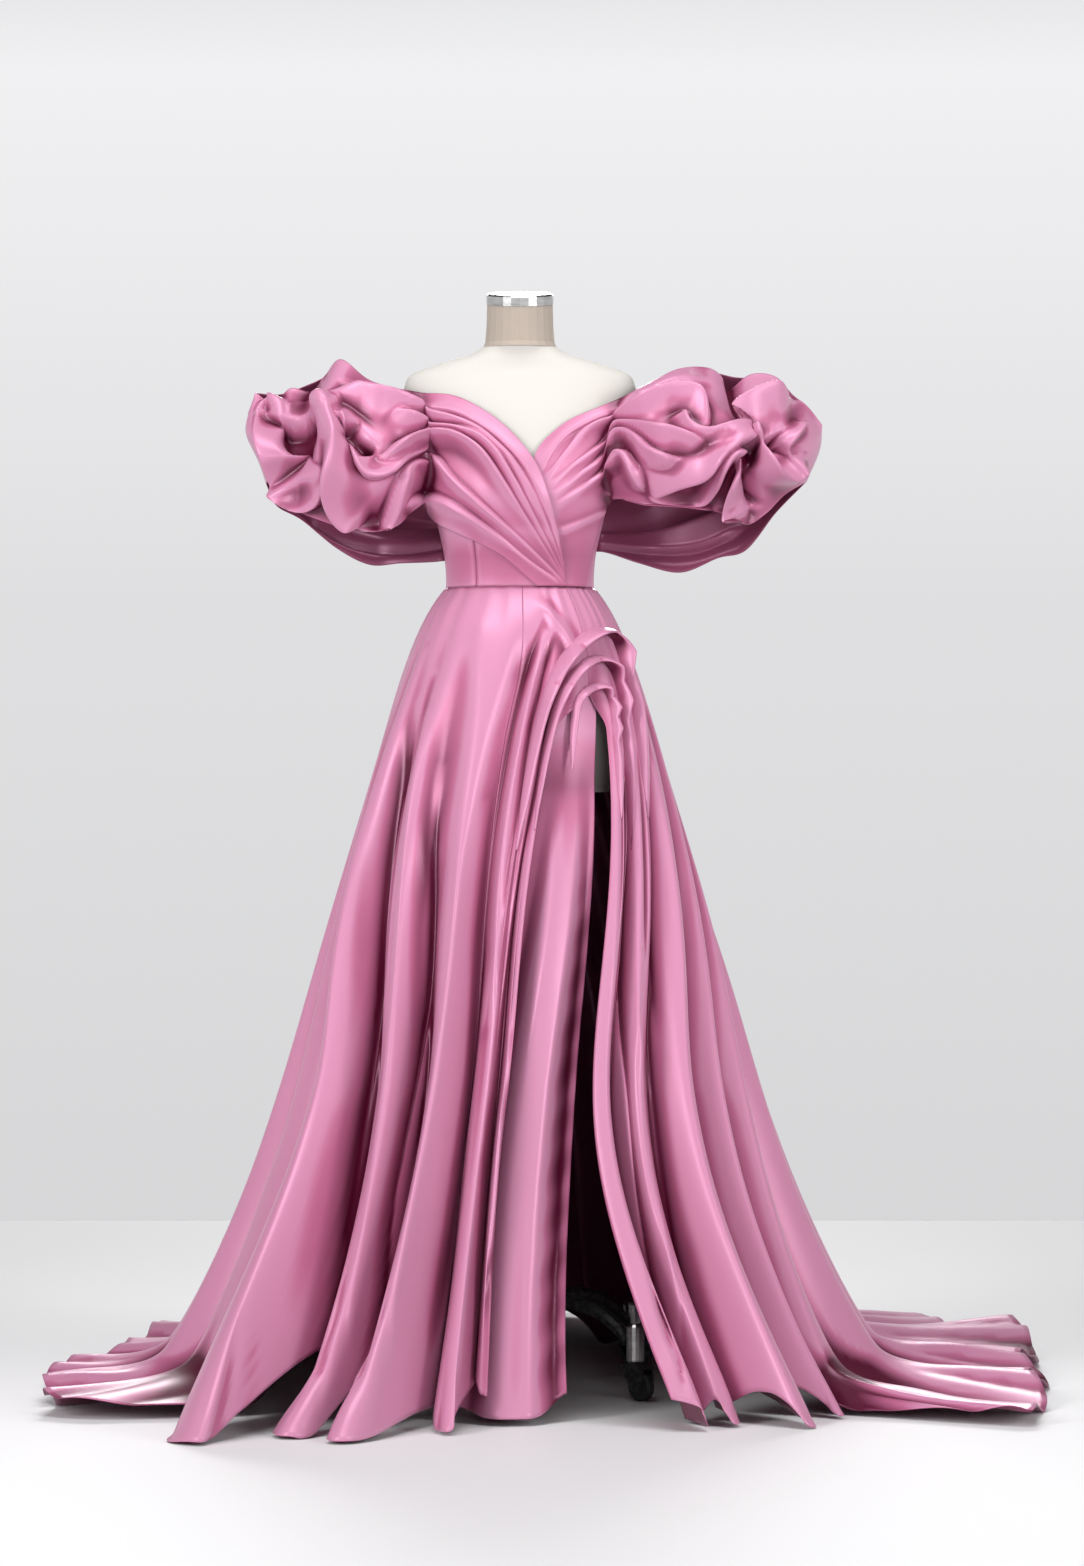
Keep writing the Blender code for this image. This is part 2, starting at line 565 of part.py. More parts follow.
def skirt(look, parent):
    """The outer skirt: five panels from the slit's right edge round to its left edge.
    Returns the two beside the slit."""
    front_left = skirt_panel("skirt_front_left", SLIT_EDGES[0], SIDE_LEFT, look, parent)
    skirt_panel("skirt_back_left", SIDE_LEFT, CENTRE_BACK, look, parent)
    skirt_panel("skirt_back_right", CENTRE_BACK, SIDE_RIGHT, look, parent)
    skirt_panel("skirt_side_front_right", SIDE_RIGHT, FRONT_SEAM, look, parent)
    centre_front = skirt_panel("skirt_centre_front", FRONT_SEAM, SLIT_EDGES[1], look, parent)
    return front_left, centre_front


def joined_tree(panels):
    """A tree of the panels' faces, for casting rays in the gown frame."""
    vertices, faces = [], []
    for panel in panels:
        faces += [[len(vertices) + v for v in face.vertices] for face in panel.data.polygons]
        vertices += [vertex.co.copy() for vertex in panel.data.vertices]
    return BVHTree.FromPolygons(vertices, faces)


def bodice(look, parent):
    """Fitted panels under the wraps, from the waist seam to above the bust."""
    heights = [WAIST_Z + SEAM / 2, 1.350, 1.400, BODICE_TOP_Z]
    panels = {
        "bodice_centre_front": (-36, 36),
        "bodice_side_front_left": (36, 84),
        "bodice_back_left": (84, 180),
        "bodice_back_right": (180, 276),
        "bodice_side_front_right": (276, 324),
    }
    half_seam = math.degrees(0.6 * SEAM / 0.11)
    for name, (low, high) in panels.items():
        angles = np.arange(15.0 * math.floor(low / 15) + 15, high, 15)
        angles = np.concatenate([[low], angles[(angles > low + 4) & (angles < high - 4)], [high]])
        angles[0] += half_seam
        angles[-1] -= half_seam
        outer = np.array([[torso_point(a, z, BODICE_LAYER) for z in heights] for a in angles])
        inner = np.array([[torso_point(a, z, BODICE_LAYER - 0.0014) for z in heights] for a in angles])
        add_wall(name, outer, inner, look, parent)


def sleeve(name, layers, look, parent):
    """A wrap and its sleeve as one strip: over the front, round the arm, over the back."""
    front, front_ridge = sleeve_face(name, False, SLEEVE_COLUMNS, SLEEVE_ROWS, layers)
    back, back_ridge = sleeve_face(name, True, SLEEVE_COLUMNS, SLEEVE_ROWS, UNDER_WRAP_LAYERS)
    base = np.concatenate([front, back[::-1][1:]])
    ridge = np.concatenate([front_ridge, back_ridge[::-1][1:]])
    turn = -1.0 if name == "left" else 1.0
    base_normal = grid_normals(base) * turn
    outer = base + base_normal * ridge[..., None]
    inner = cloth_inside(outer, turn)
    add_wall("sleeve_" + name, outer, inner, look, parent, flip=name == "left")


def skirt_front(x, z, panels):
    """A point on the skirt's front at X, Z near the hip and the way out from it: on the
    panels where they are met, and on the yoke's smooth form across the slit."""
    spread = skirt_spread(WAIST_Z - z)
    width, depth = WAIST_HALF_WIDTH + spread, WAIST_FRONT + spread * 1.06
    y = -depth * math.sqrt(max(0.05, 1 - (x / width) ** 2))
    out = unit(np.array([x / width ** 2, y / depth ** 2, 0.0]))
    hit = panels.ray_cast(Vector((x, -1.0, z)), Vector((0, 1, 0)))[0]
    if hit is not None and hit.y < y + 0.012:
        y = hit.y
    return np.array([x, y, z]), out


def hip_roll(name, row, panels, look, parent):
    """One roll of gathered cloth arched over the top of the slit, open towards the skirt."""
    half, height, lift = (value / 1000 for value in row[:3])
    path = through(row[3], ROLL_STATIONS) / 1000
    outer, inner = [], []
    for k, centre in enumerate(path):
        step = path[min(k + 1, len(path) - 1)] - path[max(k - 1, 0)]
        arch = math.sin(math.pi * k / (len(path) - 1)) ** 0.8
        slope = max(0.45, -skirt_front(*centre, panels)[1][1])
        wide = half * (0.65 + 0.35 * arch) * slope
        away = np.array([-step[1], step[0]]) / np.linalg.norm(step) * wide
        feet = [skirt_front(*(centre + away * sign), panels) for sign in (-1, 1)]
        out = unit(feet[0][1] + feet[1][1])
        near, far = (foot + out * lift for foot, _ in feet)
        middle, reach = (near + far) / 2, (far - near) / 2
        tall = height * (0.16 + 0.84 * arch)
        shrink = 1 - CLOTH / np.linalg.norm(reach)
        rings = [[], []]
        for degrees in (180, 145, 105, 60, 25, 0):
            a = math.radians(degrees)
            rings[0].append(middle + reach * -math.cos(a) + out * tall * math.sin(a))
            rings[1].append(middle + reach * -math.cos(a) * shrink + out * (tall - CLOTH) * math.sin(a))
        outer.append(rings[0])
        inner.append(rings[1])
    add_wall(name, np.array(outer), np.array(inner), look, parent, flip=True)


def underlay(look, parent):
    """The panel that hangs inside the slit from the gathered rolls to just off the floor."""
    outer = []
    for share in np.linspace(0, 1, 9):
        line = []
        hem = 0.012 + 0.026 * smoothstep(0.8, 1.0, share) + 0.014 * (1 - smoothstep(0.0, 0.3, share))
        for s in np.linspace(0.175, (WAIST_Z - hem) / SLANT, 13):
            left = stationed((24, 14, -9, -11), s)
            right = stationed((40, 35.5, 15.4, 8.5), s)
            angle = math.radians(left + (right - left) * share)
            drop = s * SLANT
            ripple = 0.010 * math.cos(2 * math.pi * (share * 1.6 - 0.1)) * smoothstep(0.2, 0.7, s)
            forward = 0.040 * smoothstep(0.45, 0.8, share) * smoothstep(0.3, 0.7, s)
            inset = 0.0034 + 0.0160 * smoothstep(0.18, 0.35, s)
            spread = skirt_spread(drop) - inset + ripple + forward
            x = (WAIST_HALF_WIDTH + spread) * math.sin(angle)
            y = -(WAIST_FRONT + spread * 1.06) * math.cos(angle)
            line.append((x, y, WAIST_Z - drop))
        outer.append(line)
    outer = np.array(outer)
    add_wall("slit_underlay", outer, cloth_inside(outer), look, parent, flip=True)


def ring_solid(name, rings, look, parent, location=(0, 0, 0)):
    """A closed solid lofted through rings of points, with flat ends."""
    count = len(rings[0])
    vertices = [p for ring in rings for p in ring]
    faces = []
    for k in range(len(rings) - 1):
        for j in range(count):
            a, b = k * count + j, k * count + (j + 1) % count
            faces.append((a, b, b + count, a + count))
    faces.append(tuple(range(count))[::-1])
    faces.append(tuple(range((len(rings) - 1) * count, len(rings) * count)))
    made = add_object(name, vertices, faces, look, parent)
    made.location = location
    made.data.set_sharp_from_angle(angle=math.radians(40))
    return made


def circle(radius, z, count=20, centre=(0, 0), squash=1.0):
    return [(centre[0] + radius * math.cos(2 * math.pi * k / count),
             centre[1] + radius * squash * math.sin(2 * math.pi * k / count), z) for k in range(count)]


def dress_form(linen, neck_linen, steel, parent):
    """Torso, neck and cap of the form; the neck leans a little forward."""
    heights = [row[0] for row in TORSO]
    angles = [15 * k for k in range(24)]
    rings = [[tuple(torso_point(a - 180, z)) for a in angles] for z in heights]
    ring_solid("form_torso", rings, linen, parent)
    lean = 0.16
    neck = []
    for z, radius in ((NECK_Z + SEAM, 0.060), (1.706, 0.0565), (1.73, 0.0545), (CAP_Z - 0.001, 0.0535)):
        neck.append([(x, y - (z - NECK_Z) * lean, z + y * lean * (z - NECK_Z) / 0.07)
                     for x, y, _ in circle(radius, 0, 24, squash=0.92)])
    ring_solid("form_neck", neck, neck_linen, parent)
    cap = []
    for rise, radius in ((0.0, 0.0545), (0.014, 0.0545), (0.017, 0.0520), (0.018, 0.030)):
        z = CAP_Z - 0.001 + SEAM * 1.5 + rise
        cap.append([(x, y - (z - NECK_Z) * lean, z + y * lean)
                    for x, y, _ in circle(radius, 0, 24, squash=0.92)])
    ring_solid("form_cap", cap, steel, parent)


def leg(name, degrees, look, parent):
    """A cast leg: an arch from the hub out and down to its caster's socket."""
    line = ((0.0324, 0.122), (0.075, 0.140), (0.125, 0.146), (0.180, 0.136), (0.225, 0.112),
            (0.2472, 0.092))
    path = through(line, 9)
    a = math.radians(degrees)
    along = np.array([math.cos(a), math.sin(a), 0.0])
    across = np.array([-math.sin(a), math.cos(a), 0.0])
    rings = []
    for k, (reach, z) in enumerate(path):
        step = path[min(k + 1, len(path) - 1)] - path[max(k - 1, 0)]
        step = step / np.linalg.norm(step)
        if k in (0, len(path) - 1):
            step = np.array([1.0, 0.0])
        up = along * -step[1] + np.array([0, 0, 1.0]) * step[0]
        centre = along * reach + np.array([0, 0, z])
        grow = 1.25 - 0.35 * k / (len(path) - 1)
        ring = []
        for q in range(8):
            b = 2 * math.pi * (q + 0.5) / 8
            ring.append(tuple(centre + across * LEG_HALF_WIDTH * grow * math.cos(b)
                              + up * LEG_HALF_HEIGHT * grow * math.sin(b)))
        rings.append(ring)
    return ring_solid(name, rings, look, parent)


def fork_mesh():
    """A hood with two arms, open between them and below its roof."""
    roof, top = 0.0515, 0.0594
    arm = [(0.0265, roof), (0.0265, 0.034), (CASTER_TRAIL + 0.007, 0.017), (CASTER_TRAIL - 0.007, 0.017),
           (-0.010, 0.038), (-0.0150, roof)]
    side = arm + [(-0.0150, top), (0.0150, top)]
    n, m = len(side), len(arm)
    vertices = [(x, 0.0155, z) for x, z in side] + [(x, 0.0105, z) for x, z in arm]
    vertices += [(x, -0.0105, z) for x, z in arm] + [(x, -0.0155, z) for x, z in side]
    left, left_in = list(range(n)), list(range(n, n + m))
    right_in, right = list(range(n + m, n + 2 * m)), list(range(n + 2 * m, 2 * n + 2 * m))
    faces = [left, right[::-1], left_in[::-1], right_in]
    for k in range(m - 1):
        faces.append((left[k + 1], left[k], left_in[k], left_in[k + 1]))
        faces.append((right_in[k + 1], right_in[k], right[k], right[k + 1]))
    faces.append((left[m + 1], left[m], right[m], right[m + 1]))
    faces.append((left_in[0], right_in[0], right_in[m - 1], left_in[m - 1]))
    faces.append((left[m], left[m - 1], left_in[m - 1], right_in[m - 1], right[m - 1], right[m]))
    faces.append((left[0], left[m + 1], right[m + 1], right[0], right_in[0], left_in[0]))
    return vertices, faces


def caster(name, degrees, steel, iron, rubber, parent):
    """A socket on the leg, a forked hood that swivels under it, and a wheel."""
    a = math.radians(degrees)
    foot = (LEG_REACH * math.cos(a), LEG_REACH * math.sin(a), 0.0)
    sockets = [circle(r, z, 16) for r, z in ((0.0125, SOCKET_Z[0]), (SOCKET_RADIUS, SOCKET_Z[0] + 0.004),
                                             (SOCKET_RADIUS, SOCKET_Z[1] - 0.004), (0.0115, SOCKET_Z[1]))]
    ring_solid("socket_" + name, sockets, steel, parent, foot)

    swivel = bpy.data.objects.new("swivel_" + name, None)
    bpy.context.scene.collection.objects.link(swivel)
    swivel.parent = parent
    swivel.location = foot
    swivel.rotation_euler = (0, 0, a)
    add_object("fork_" + name, *fork_mesh(), iron, swivel)

    profile = ((0.0055, 0.0102), (0.0055, WHEEL_HALF_WIDTH), (WHEEL_RADIUS - 0.003, WHEEL_HALF_WIDTH),
               (WHEEL_RADIUS, WHEEL_HALF_WIDTH - 0.003))
    profile = [(r, -w) for r, w in profile] + list(reversed(profile))
    wheel = [[(x, -z, y) for x, y, z in circle(r, w, 16)] for r, w in profile]
    ring_solid("wheel_" + name, wheel, rubber, swivel, (CASTER_TRAIL, 0, WHEEL_RADIUS))


def stand(steel, iron, rubber, parent):
    ends = (HUB_TOP_Z + SEAM, TORSO_FOOT_Z - SEAM)
    ring_solid("pole", [circle(POLE_RADIUS, z, 16) for z in ends],
               steel, parent)
    hub = [circle(r, z, 20) for r, z in ((0.026, HUB_Z), (0.0325, HUB_Z + 0.010), (0.0325, 0.142),
                                         (0.024, 0.150), (0.020, HUB_TOP_Z))]
    ring_solid("hub", hub, iron, parent)
    for name, degrees in LEG_ANGLES.items():
        leg("leg_" + name, degrees, iron, parent)
        caster(name, degrees, steel, iron, rubber, parent)


def main():
    clear_scene()
    frame = bpy.data.objects.new("gown_frame", None)
    bpy.context.scene.collection.objects.link(frame)
    frame.location = (-FOOTPRINT_CENTRE[0], -FOOTPRINT_CENTRE[1], 0.0)
    satin = material("satin", PINK, 0.35)
    linen = material("linen", LINEN, 0.85)
    neck_linen = material("neck_linen", NECK_LINEN, 0.85)
    steel = material("steel", STEEL, 0.3, 1.0)
    iron = material("iron", IRON, 0.45, 0.8)
    rubber = material("rubber", RUBBER, 0.6)
    panels = joined_tree(skirt(satin, frame))
    underlay(satin, frame)
    bodice(satin, frame)
    sleeve("right", OVER_WRAP_LAYERS, satin, frame)
    sleeve("left", UNDER_WRAP_LAYERS, satin, frame)
    for number, row in enumerate(ROLLS, 1):
        hip_roll(f"hip_roll_{number}", row, panels, satin, frame)
    dress_form(linen, neck_linen, steel, frame)
    stand(steel, iron, rubber, frame)
    bpy.context.view_layer.update()


main()
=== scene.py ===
"""The looks of a satin A-line gown on a limbless dress form: cloth shells with their folds,
the linen form, its metal stand, and the studio round them.

Metres, +Z up. The wearer's left is +X and the gown faces -Y. The cloth is worked out in a
gown frame, whose origin is on the floor under the pole.
"""

import math

import bpy
import numpy as np
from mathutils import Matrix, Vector
from mathutils.bvhtree import BVHTree


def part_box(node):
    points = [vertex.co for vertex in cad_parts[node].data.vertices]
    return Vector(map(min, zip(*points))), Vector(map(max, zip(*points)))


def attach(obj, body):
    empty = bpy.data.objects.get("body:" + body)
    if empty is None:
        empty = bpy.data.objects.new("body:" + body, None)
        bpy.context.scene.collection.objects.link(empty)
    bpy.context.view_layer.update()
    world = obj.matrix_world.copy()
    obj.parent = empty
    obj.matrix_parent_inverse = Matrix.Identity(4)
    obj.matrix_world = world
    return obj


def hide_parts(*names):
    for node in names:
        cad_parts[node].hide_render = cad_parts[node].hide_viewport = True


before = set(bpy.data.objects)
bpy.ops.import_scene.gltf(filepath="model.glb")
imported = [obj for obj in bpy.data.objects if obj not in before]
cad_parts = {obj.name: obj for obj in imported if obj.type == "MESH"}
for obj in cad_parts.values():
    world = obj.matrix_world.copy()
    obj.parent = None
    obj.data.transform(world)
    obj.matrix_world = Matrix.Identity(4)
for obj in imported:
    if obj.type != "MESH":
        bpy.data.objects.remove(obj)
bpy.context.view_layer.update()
BODY = "gown_and_form"

pole_low, pole_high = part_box("pole")
ORIGIN = np.array([(pole_low.x + pole_high.x) / 2, (pole_low.y + pole_high.y) / 2, 0.0])

# Camera: level, 9 m in front of the pole
CAMERA_PLACE = (0.036, -9.0, 0.987)
CAMERA_LENS = 126.8

# Studio: half the floor's width and where it ends in front of the gown and behind it; the
# backdrop's greys with their places in a range of upward direction, 0 at the horizon
FLOOR_HALF = 4.0
FLOOR_ENDS = (-5.0, 3.2)
BACKDROP_RANGE = (-0.1, 0.5)
BACKDROP_BLUE = 1.015
BACKDROP_GREYS = ((0.0, 0.67), (0.22, 0.74), (0.38, 0.88), (0.50, 0.46), (0.98, 0.06))

# Walls of the cloth and the gap at a seam
CLOTH = 0.0014
BODICE_CLOTH = 0.0012
ROLL_CLOTH = 0.0010
SEAM = 0.0003
EDGE_GAP = 0.6 * SEAM

# How deep in a hollow the cloth's inner face counts as lying, for the shade painted into its colour
INSIDE_SHADE = 0.7

# Heights of the gown and of the form
WAIST_Z = 1.305
BODICE_TOP_Z = 1.450
NECK_Z = 1.697
TORSO_FOOT_Z = 0.972
LINEN_INSET = 0.0004

# Layers outside the form
BODICE_LAYER = 0.0027
BODICE_RADIUS = 0.11
UNDER_WRAP_LAYERS = (0.0045, 0.0066)
OVER_WRAP_LAYERS = (0.0068, 0.0130)

# Skirt cone below the waist
WAIST_HALF_WIDTH = 0.1215
WAIST_FRONT = 0.0915
WAIST_BACK = 0.0880
HIP_SPRING = 0.035
HIP_SPRING_DEPTH = 0.060
FLARE = 0.270
HEM_KICK = 0.032
SLANT = 0.945
VALLEY_INSET = 0.055
FLOOR_GAP = 0.0022
DEPTH_RATIO = 1.06
CONE_LENGTH = (WAIST_Z - 0.004) / SLANT

# The form's sections: height, half width, depth to the front and to the back
TORSO = np.array((
    (0.972, 0.146, 0.098, 0.124),
    (1.040, 0.158, 0.104, 0.134),
    (1.110, 0.160, 0.104, 0.136),
    (1.200, 0.142, 0.094, 0.114),
    (1.260, 0.124, 0.090, 0.092),
    (1.305, 0.118, 0.088, 0.084),
    (1.350, 0.120, 0.094, 0.086),
    (1.400, 0.130, 0.112, 0.092),
    (1.450, 0.143, 0.126, 0.098),
    (1.500, 0.156, 0.122, 0.102),
    (1.550, 0.168, 0.106, 0.104),
    (1.600, 0.180, 0.084, 0.098),
    (1.636, 0.188, 0.062, 0.082),
    (1.654, 0.176, 0.050, 0.068),
    (1.672, 0.128, 0.047, 0.062),
    (1.686, 0.082, 0.048, 0.058),
    (1.697, 0.062, 0.052, 0.056),
))

# One row for each flute of the skirt, round from the slit's right edge to its left edge.
# Angles in degrees from the front towards +X, at the yoke, hip, knee and hem; crest height
# in mm at the knee and at the foot; train length past the foot in mm, height of the fold on
# the floor and lift of the hem beside the crest in mm; where the valley after the crest
# lies; how much the crest broadens down the skirt.
FLUTES = np.array((
    (46, 42, 19.0, 24, 62, 145, 0, 0, 50, 0.60, 0.55),
    (58, 54, 27, 29.5, 50, 112, 0, 0, 80, 0.60, 0.50),
    (70, 68, 41.0, 37.0, 56, 182, 0, 0, 90, 0.62, 0.55),
    (84, 83, 53.5, 49.0, 46, 110, 0, 0, 60, 0.55, 0.40),
    (98, 97, 66, 55.5, 42, 85, 400, 34, 0, 0.50, 0.40),
    (112, 111, 82, 78, 42, 80, 300, 42, 0, 0.50, 0.35),
    (126, 125, 99, 100, 44, 80, 310, 44, 0, 0.50, 0.30),
    (140, 139, 119, 125, 54, 90, 500, 68, 0, 0.50, 0.40),
    (155, 153, 139, 142, 52, 80, 590, 50, 0, 0.50, 0.30),
    (169, 168, 158, 159, 52, 80, 660, 56, 0, 0.50, 0.45),
    (182, 182, 176, 175, 56, 80, 690, 60, 0, 0.50, 0.50),
    (196, 197, 194, 192, 52, 80, 670, 56, 0, 0.50, 0.30),
    (210, 212, 212, 209, 50, 76, 540, 54, 0, 0.50, 0.45),
    (224, 227, 230, 228, 46, 72, 300, 56, 0, 0.50, 0.30),
    (238, 241, 247, 246, 42, 68, 190, 38, 0, 0.50, 0.40),
    (252, 254, 263, 263, 40, 68, 215, 32, 0, 0.50, 0.30),
    (266, 266, 278, 282, 40, 72, 225, 34, 0, 0.50, 0.40),
    (280, 279, 293, 299, 38, 80, 280, 34, 0, 0.50, 0.50),
    (297, 294, 316, 327.5, 98, 375, 0, 0, 150, 0.36, 0.60),
    (321, 318, 331.5, 335, 76, 215, 0, 0, 100, 0.42, 0.60),
    (350, 344, 342.0, 341.8, 78, 245, 0, 0, 70, 0.50, 0.55),
    (374, 364, 352.5, 351.0, 40, 120, 0, 0, 30, 0.50, 0.50),
    (389, 373, 356.5, 354.0, 55, 48, -70, 0, 0, 0.50, 0.40),
), float)
SLIT_TOP = 0.170
SLIT_EDGES = (-0.50, len(FLUTES) - 0.50)
SLIT_SPREAD = (0.38, 0.46)
STATIONS = np.array((0.08, 0.26, 0.86, 1.38))

HEM_ROUNDING = 0.2
RIGHT_HEM_ROUNDING = 0.34
RIGHT_HEM_LIFT = 0.6
HEM_WAVER = 0.014

# Radius of the bend where the cloth meets the floor, and what the train adds to it
HEM_BEND = (0.004, 0.046)

# The skirt's panels, between flute numbers
PANELS = {
    "skirt_front_left": (-0.5, 4.5),
    "skirt_back_left": (4.5, 10.5),
    "skirt_back_right": (10.5, 16.5),
    "skirt_side_front_right": (16.5, 20.5),
    "skirt_centre_front": (20.5, 22.5),
}
FRONT_PANELS = ("skirt_front_left", "skirt_side_front_right", "skirt_centre_front")
COLUMNS_PER_FLUTE = 26
FRONT_COLUMNS_PER_FLUTE = 44
SKIRT_ROWS = 150

# Small creases of the skirt: flute number and path length at both ends, half width in
# flutes, height in mm (below 0 for a trough)
SKIRT_CREASES = (
    (18.15, 0.10, 18.45, 0.82, 0.16, 6),
    (18.75, 0.15, 18.80, 0.70, 0.10, -5),
    (19.40, 0.30, 19.45, 1.25, 0.10, 8),
    (20.30, 0.36, 20.25, 1.30, 0.10, 7),
    (21.40, 0.20, 20.80, 0.75, 0.12, 7),
    (21.75, 0.22, 21.15, 0.95, 0.10, 7),
    (0.55, 0.22, 0.35, 1.10, 0.08, 5),
    (1.60, 0.22, 1.45, 0.95, 0.08, -5),
    (2.30, 0.25, 2.35, 1.20, 0.09, 5),
    (3.35, 0.15, 3.30, 0.90, 0.08, -4),
    (5.70, 0.10, 5.45, 0.80, 0.09, 5),
    (7.45, 0.05, 7.60, 0.95, 0.10, -5),
    (9.30, 0.12, 9.25, 1.15, 0.08, 6),
    (11.60, 0.06, 11.75, 0.85, 0.10, -5),
    (13.35, 0.10, 13.20, 1.05, 0.08, 5),
    (15.55, 0.08, 15.70, 0.75, 0.09, 5),
    (16.80, 0.15, 16.95, 1.00, 0.08, -5),
)

# Folds of the skirt's front: height in mm (below 0 for a trough), half width in mm to the
# left and to the right, how far in mm the line fades in and fades out, and the line as seen
# from the camera on the plane through the pole, X and Z in mm
FRONT_FOLDS = (
    (-15, 16, 8, 160, 60, ((-166, 1122), (-209, 878), (-230, 633), (-277, 307), (-299, 144), (-322, 60))),
    (9, 9, 16, 160, 60, ((-153, 1122), (-184, 878), (-203, 633), (-245, 307), (-272, 144))),
    (-16, 16, 8, 200, 60, ((-128, 985), (-140, 878), (-152, 633), (-212, 307), (-228, 144), (-252, 62))),
    (8, 8, 14, 200, 60, ((-84, 960), (-95, 878), (-119, 633), (-176, 307), (-204, 144))),
    (-20, 26, 12, 120, 60, ((44, 1277), (24, 1217), (3, 1139), (-23, 1025), (-46, 894), (-59, 763),
        (-65, 633), (-82, 470), (-106, 307), (-135, 144), (-150, 20))),
    (9, 8, 7, 80, 160, ((46, 1220), (21, 1155), (0, 1057), (-20, 946), (-37, 796), (-46, 620))),
    (-11, 9, 6, 60, 160, ((60, 1240), (41, 1180), (12, 1041), (-5, 910), (-25, 763), (-36, 600))),
    (10, 7, 6, 80, 60, ((70, 1204), (51, 1139), (33, 1057), (13, 959), (-5, 861), (-20, 715), (-28, 551),
        (-41, 307), (-65, 144), (-80, 40))),
    (-10, 6, 6, 80, 200, ((60, 1139), (34, 1025), (15, 916), (1, 820), (-12, 680), (-20, 500))),
    (7, 30, 30, 60, 200, ((-66, 1290), (-66, 1122), (-92, 878), (-114, 715))),
    (-9, 14, 8, 60, 160, ((52, 1290), (74, 1253), (88, 1220))),
    (10, 12, 12, 40, 60, ((20, 1296), (50, 1262), (76, 1222), (92, 1200))),
    (-15, 7, 7, 120, 60, ((174, 1057), (175, 861), (169, 633), (183, 470), (199, 307), (228, 144),
        (260, 40))),
    (7, 8, 8, 160, 60, ((190, 880), (190, 633), (209, 470), (228, 307), (253, 144))),
    (-14, 9, 10, 120, 200, ((197, 1122), (207, 992), (212, 861), (214, 730), (226, 560))),
)

# A fold with this fade-out or less runs on down to the hem
RUNS_ON = 60

# Folds at the hem, in the same columns, which widen towards the floor
HEM_FOLDS = (
    (7, 12, 12, 80, 20, ((-440, 120), (-458, 40), (-474, -60))),
    (-14, 9, 9, 60, 20, ((-118, 130), (-126, 60), (-140, -60))),
)

# Feet of the front flutes: flute number, how far the hem swings round and out in mm, half
# width in flutes, and the path length where the swing starts
FEET = (
    (18.1, 26, -6, 0.5, 1.10),
    (18.92, -56, 8, 0.22, 1.22),
    (19.95, -44, 4, 0.20, 1.18),
    (21.0, 12, 6, 0.30, 1.20),
    (0.0, 10, 10, 0.25, 1.20),
    (1.05, -10, 0, 0.25, 1.20),
    (2.05, 14, 4, 0.28, 1.20),
    (3.0, -16, 10, 0.28, 1.20),
)
FOOT_END = 1.39

# Outlines of the sleeves with their wraps seen from the front, X and Z in mm.
# "right" is the wearer's right, at -X.
OUTLINES = {"right": {
    "top": ((78, 1305.6), (65, 1375), (47, 1449), (21, 1511), (-33, 1571), (-101, 1612), (-163, 1620),
        (-237, 1635), (-290, 1677), (-317, 1652), (-340, 1628), (-375, 1633), (-405, 1611),
        (-432, 1624)),
    "outer": ((-432, 1624), (-449, 1563), (-428, 1511), (-416, 1478)),
    "bottom": ((28, 1305.6), (-33, 1357), (-131, 1406), (-163, 1439), (-199, 1405), (-253, 1393),
        (-318, 1410), (-375, 1436), (-416, 1478)),
    "back_top": ((-0.8, 1500), (-80, 1530), (-150, 1590), (-205, 1632), (-250, 1640), (-290, 1660),
        (-340, 1640), (-390, 1622), (-432, 1624)),
    "back_bottom": ((-0.8, 1372), (-70, 1362), (-128, 1350), (-196, 1348), (-248, 1346), (-302, 1373),
        (-359, 1419), (-400, 1442), (-416, 1478)),
}, "left": {
    "top": ((70, 1305.6), (54, 1400), (22, 1503), (65, 1563), (131, 1597), (212, 1631), (254, 1656),
        (302, 1664), (328, 1650), (338, 1626), (375, 1653), (416, 1650), (445, 1620), (470, 1600),
        (493, 1571)),
    "outer": ((493, 1571), (489, 1530), (467, 1478)),
    "bottom": ((108, 1305.6), (122, 1375), (150, 1444), (212, 1437), (277, 1432), (330, 1422),
        (367, 1405), (400, 1424), (432, 1457), (467, 1478)),
    "back_top": ((0.8, 1500), (80, 1530), (150, 1590), (205, 1632), (254, 1652), (302, 1660),
        (350, 1650), (416, 1640), (493, 1571)),
    "back_bottom": ((0.8, 1372), (70, 1362), (134, 1366), (196, 1348), (264, 1333), (326, 1357),
        (372, 1370), (420, 1430), (467, 1478)),
}}

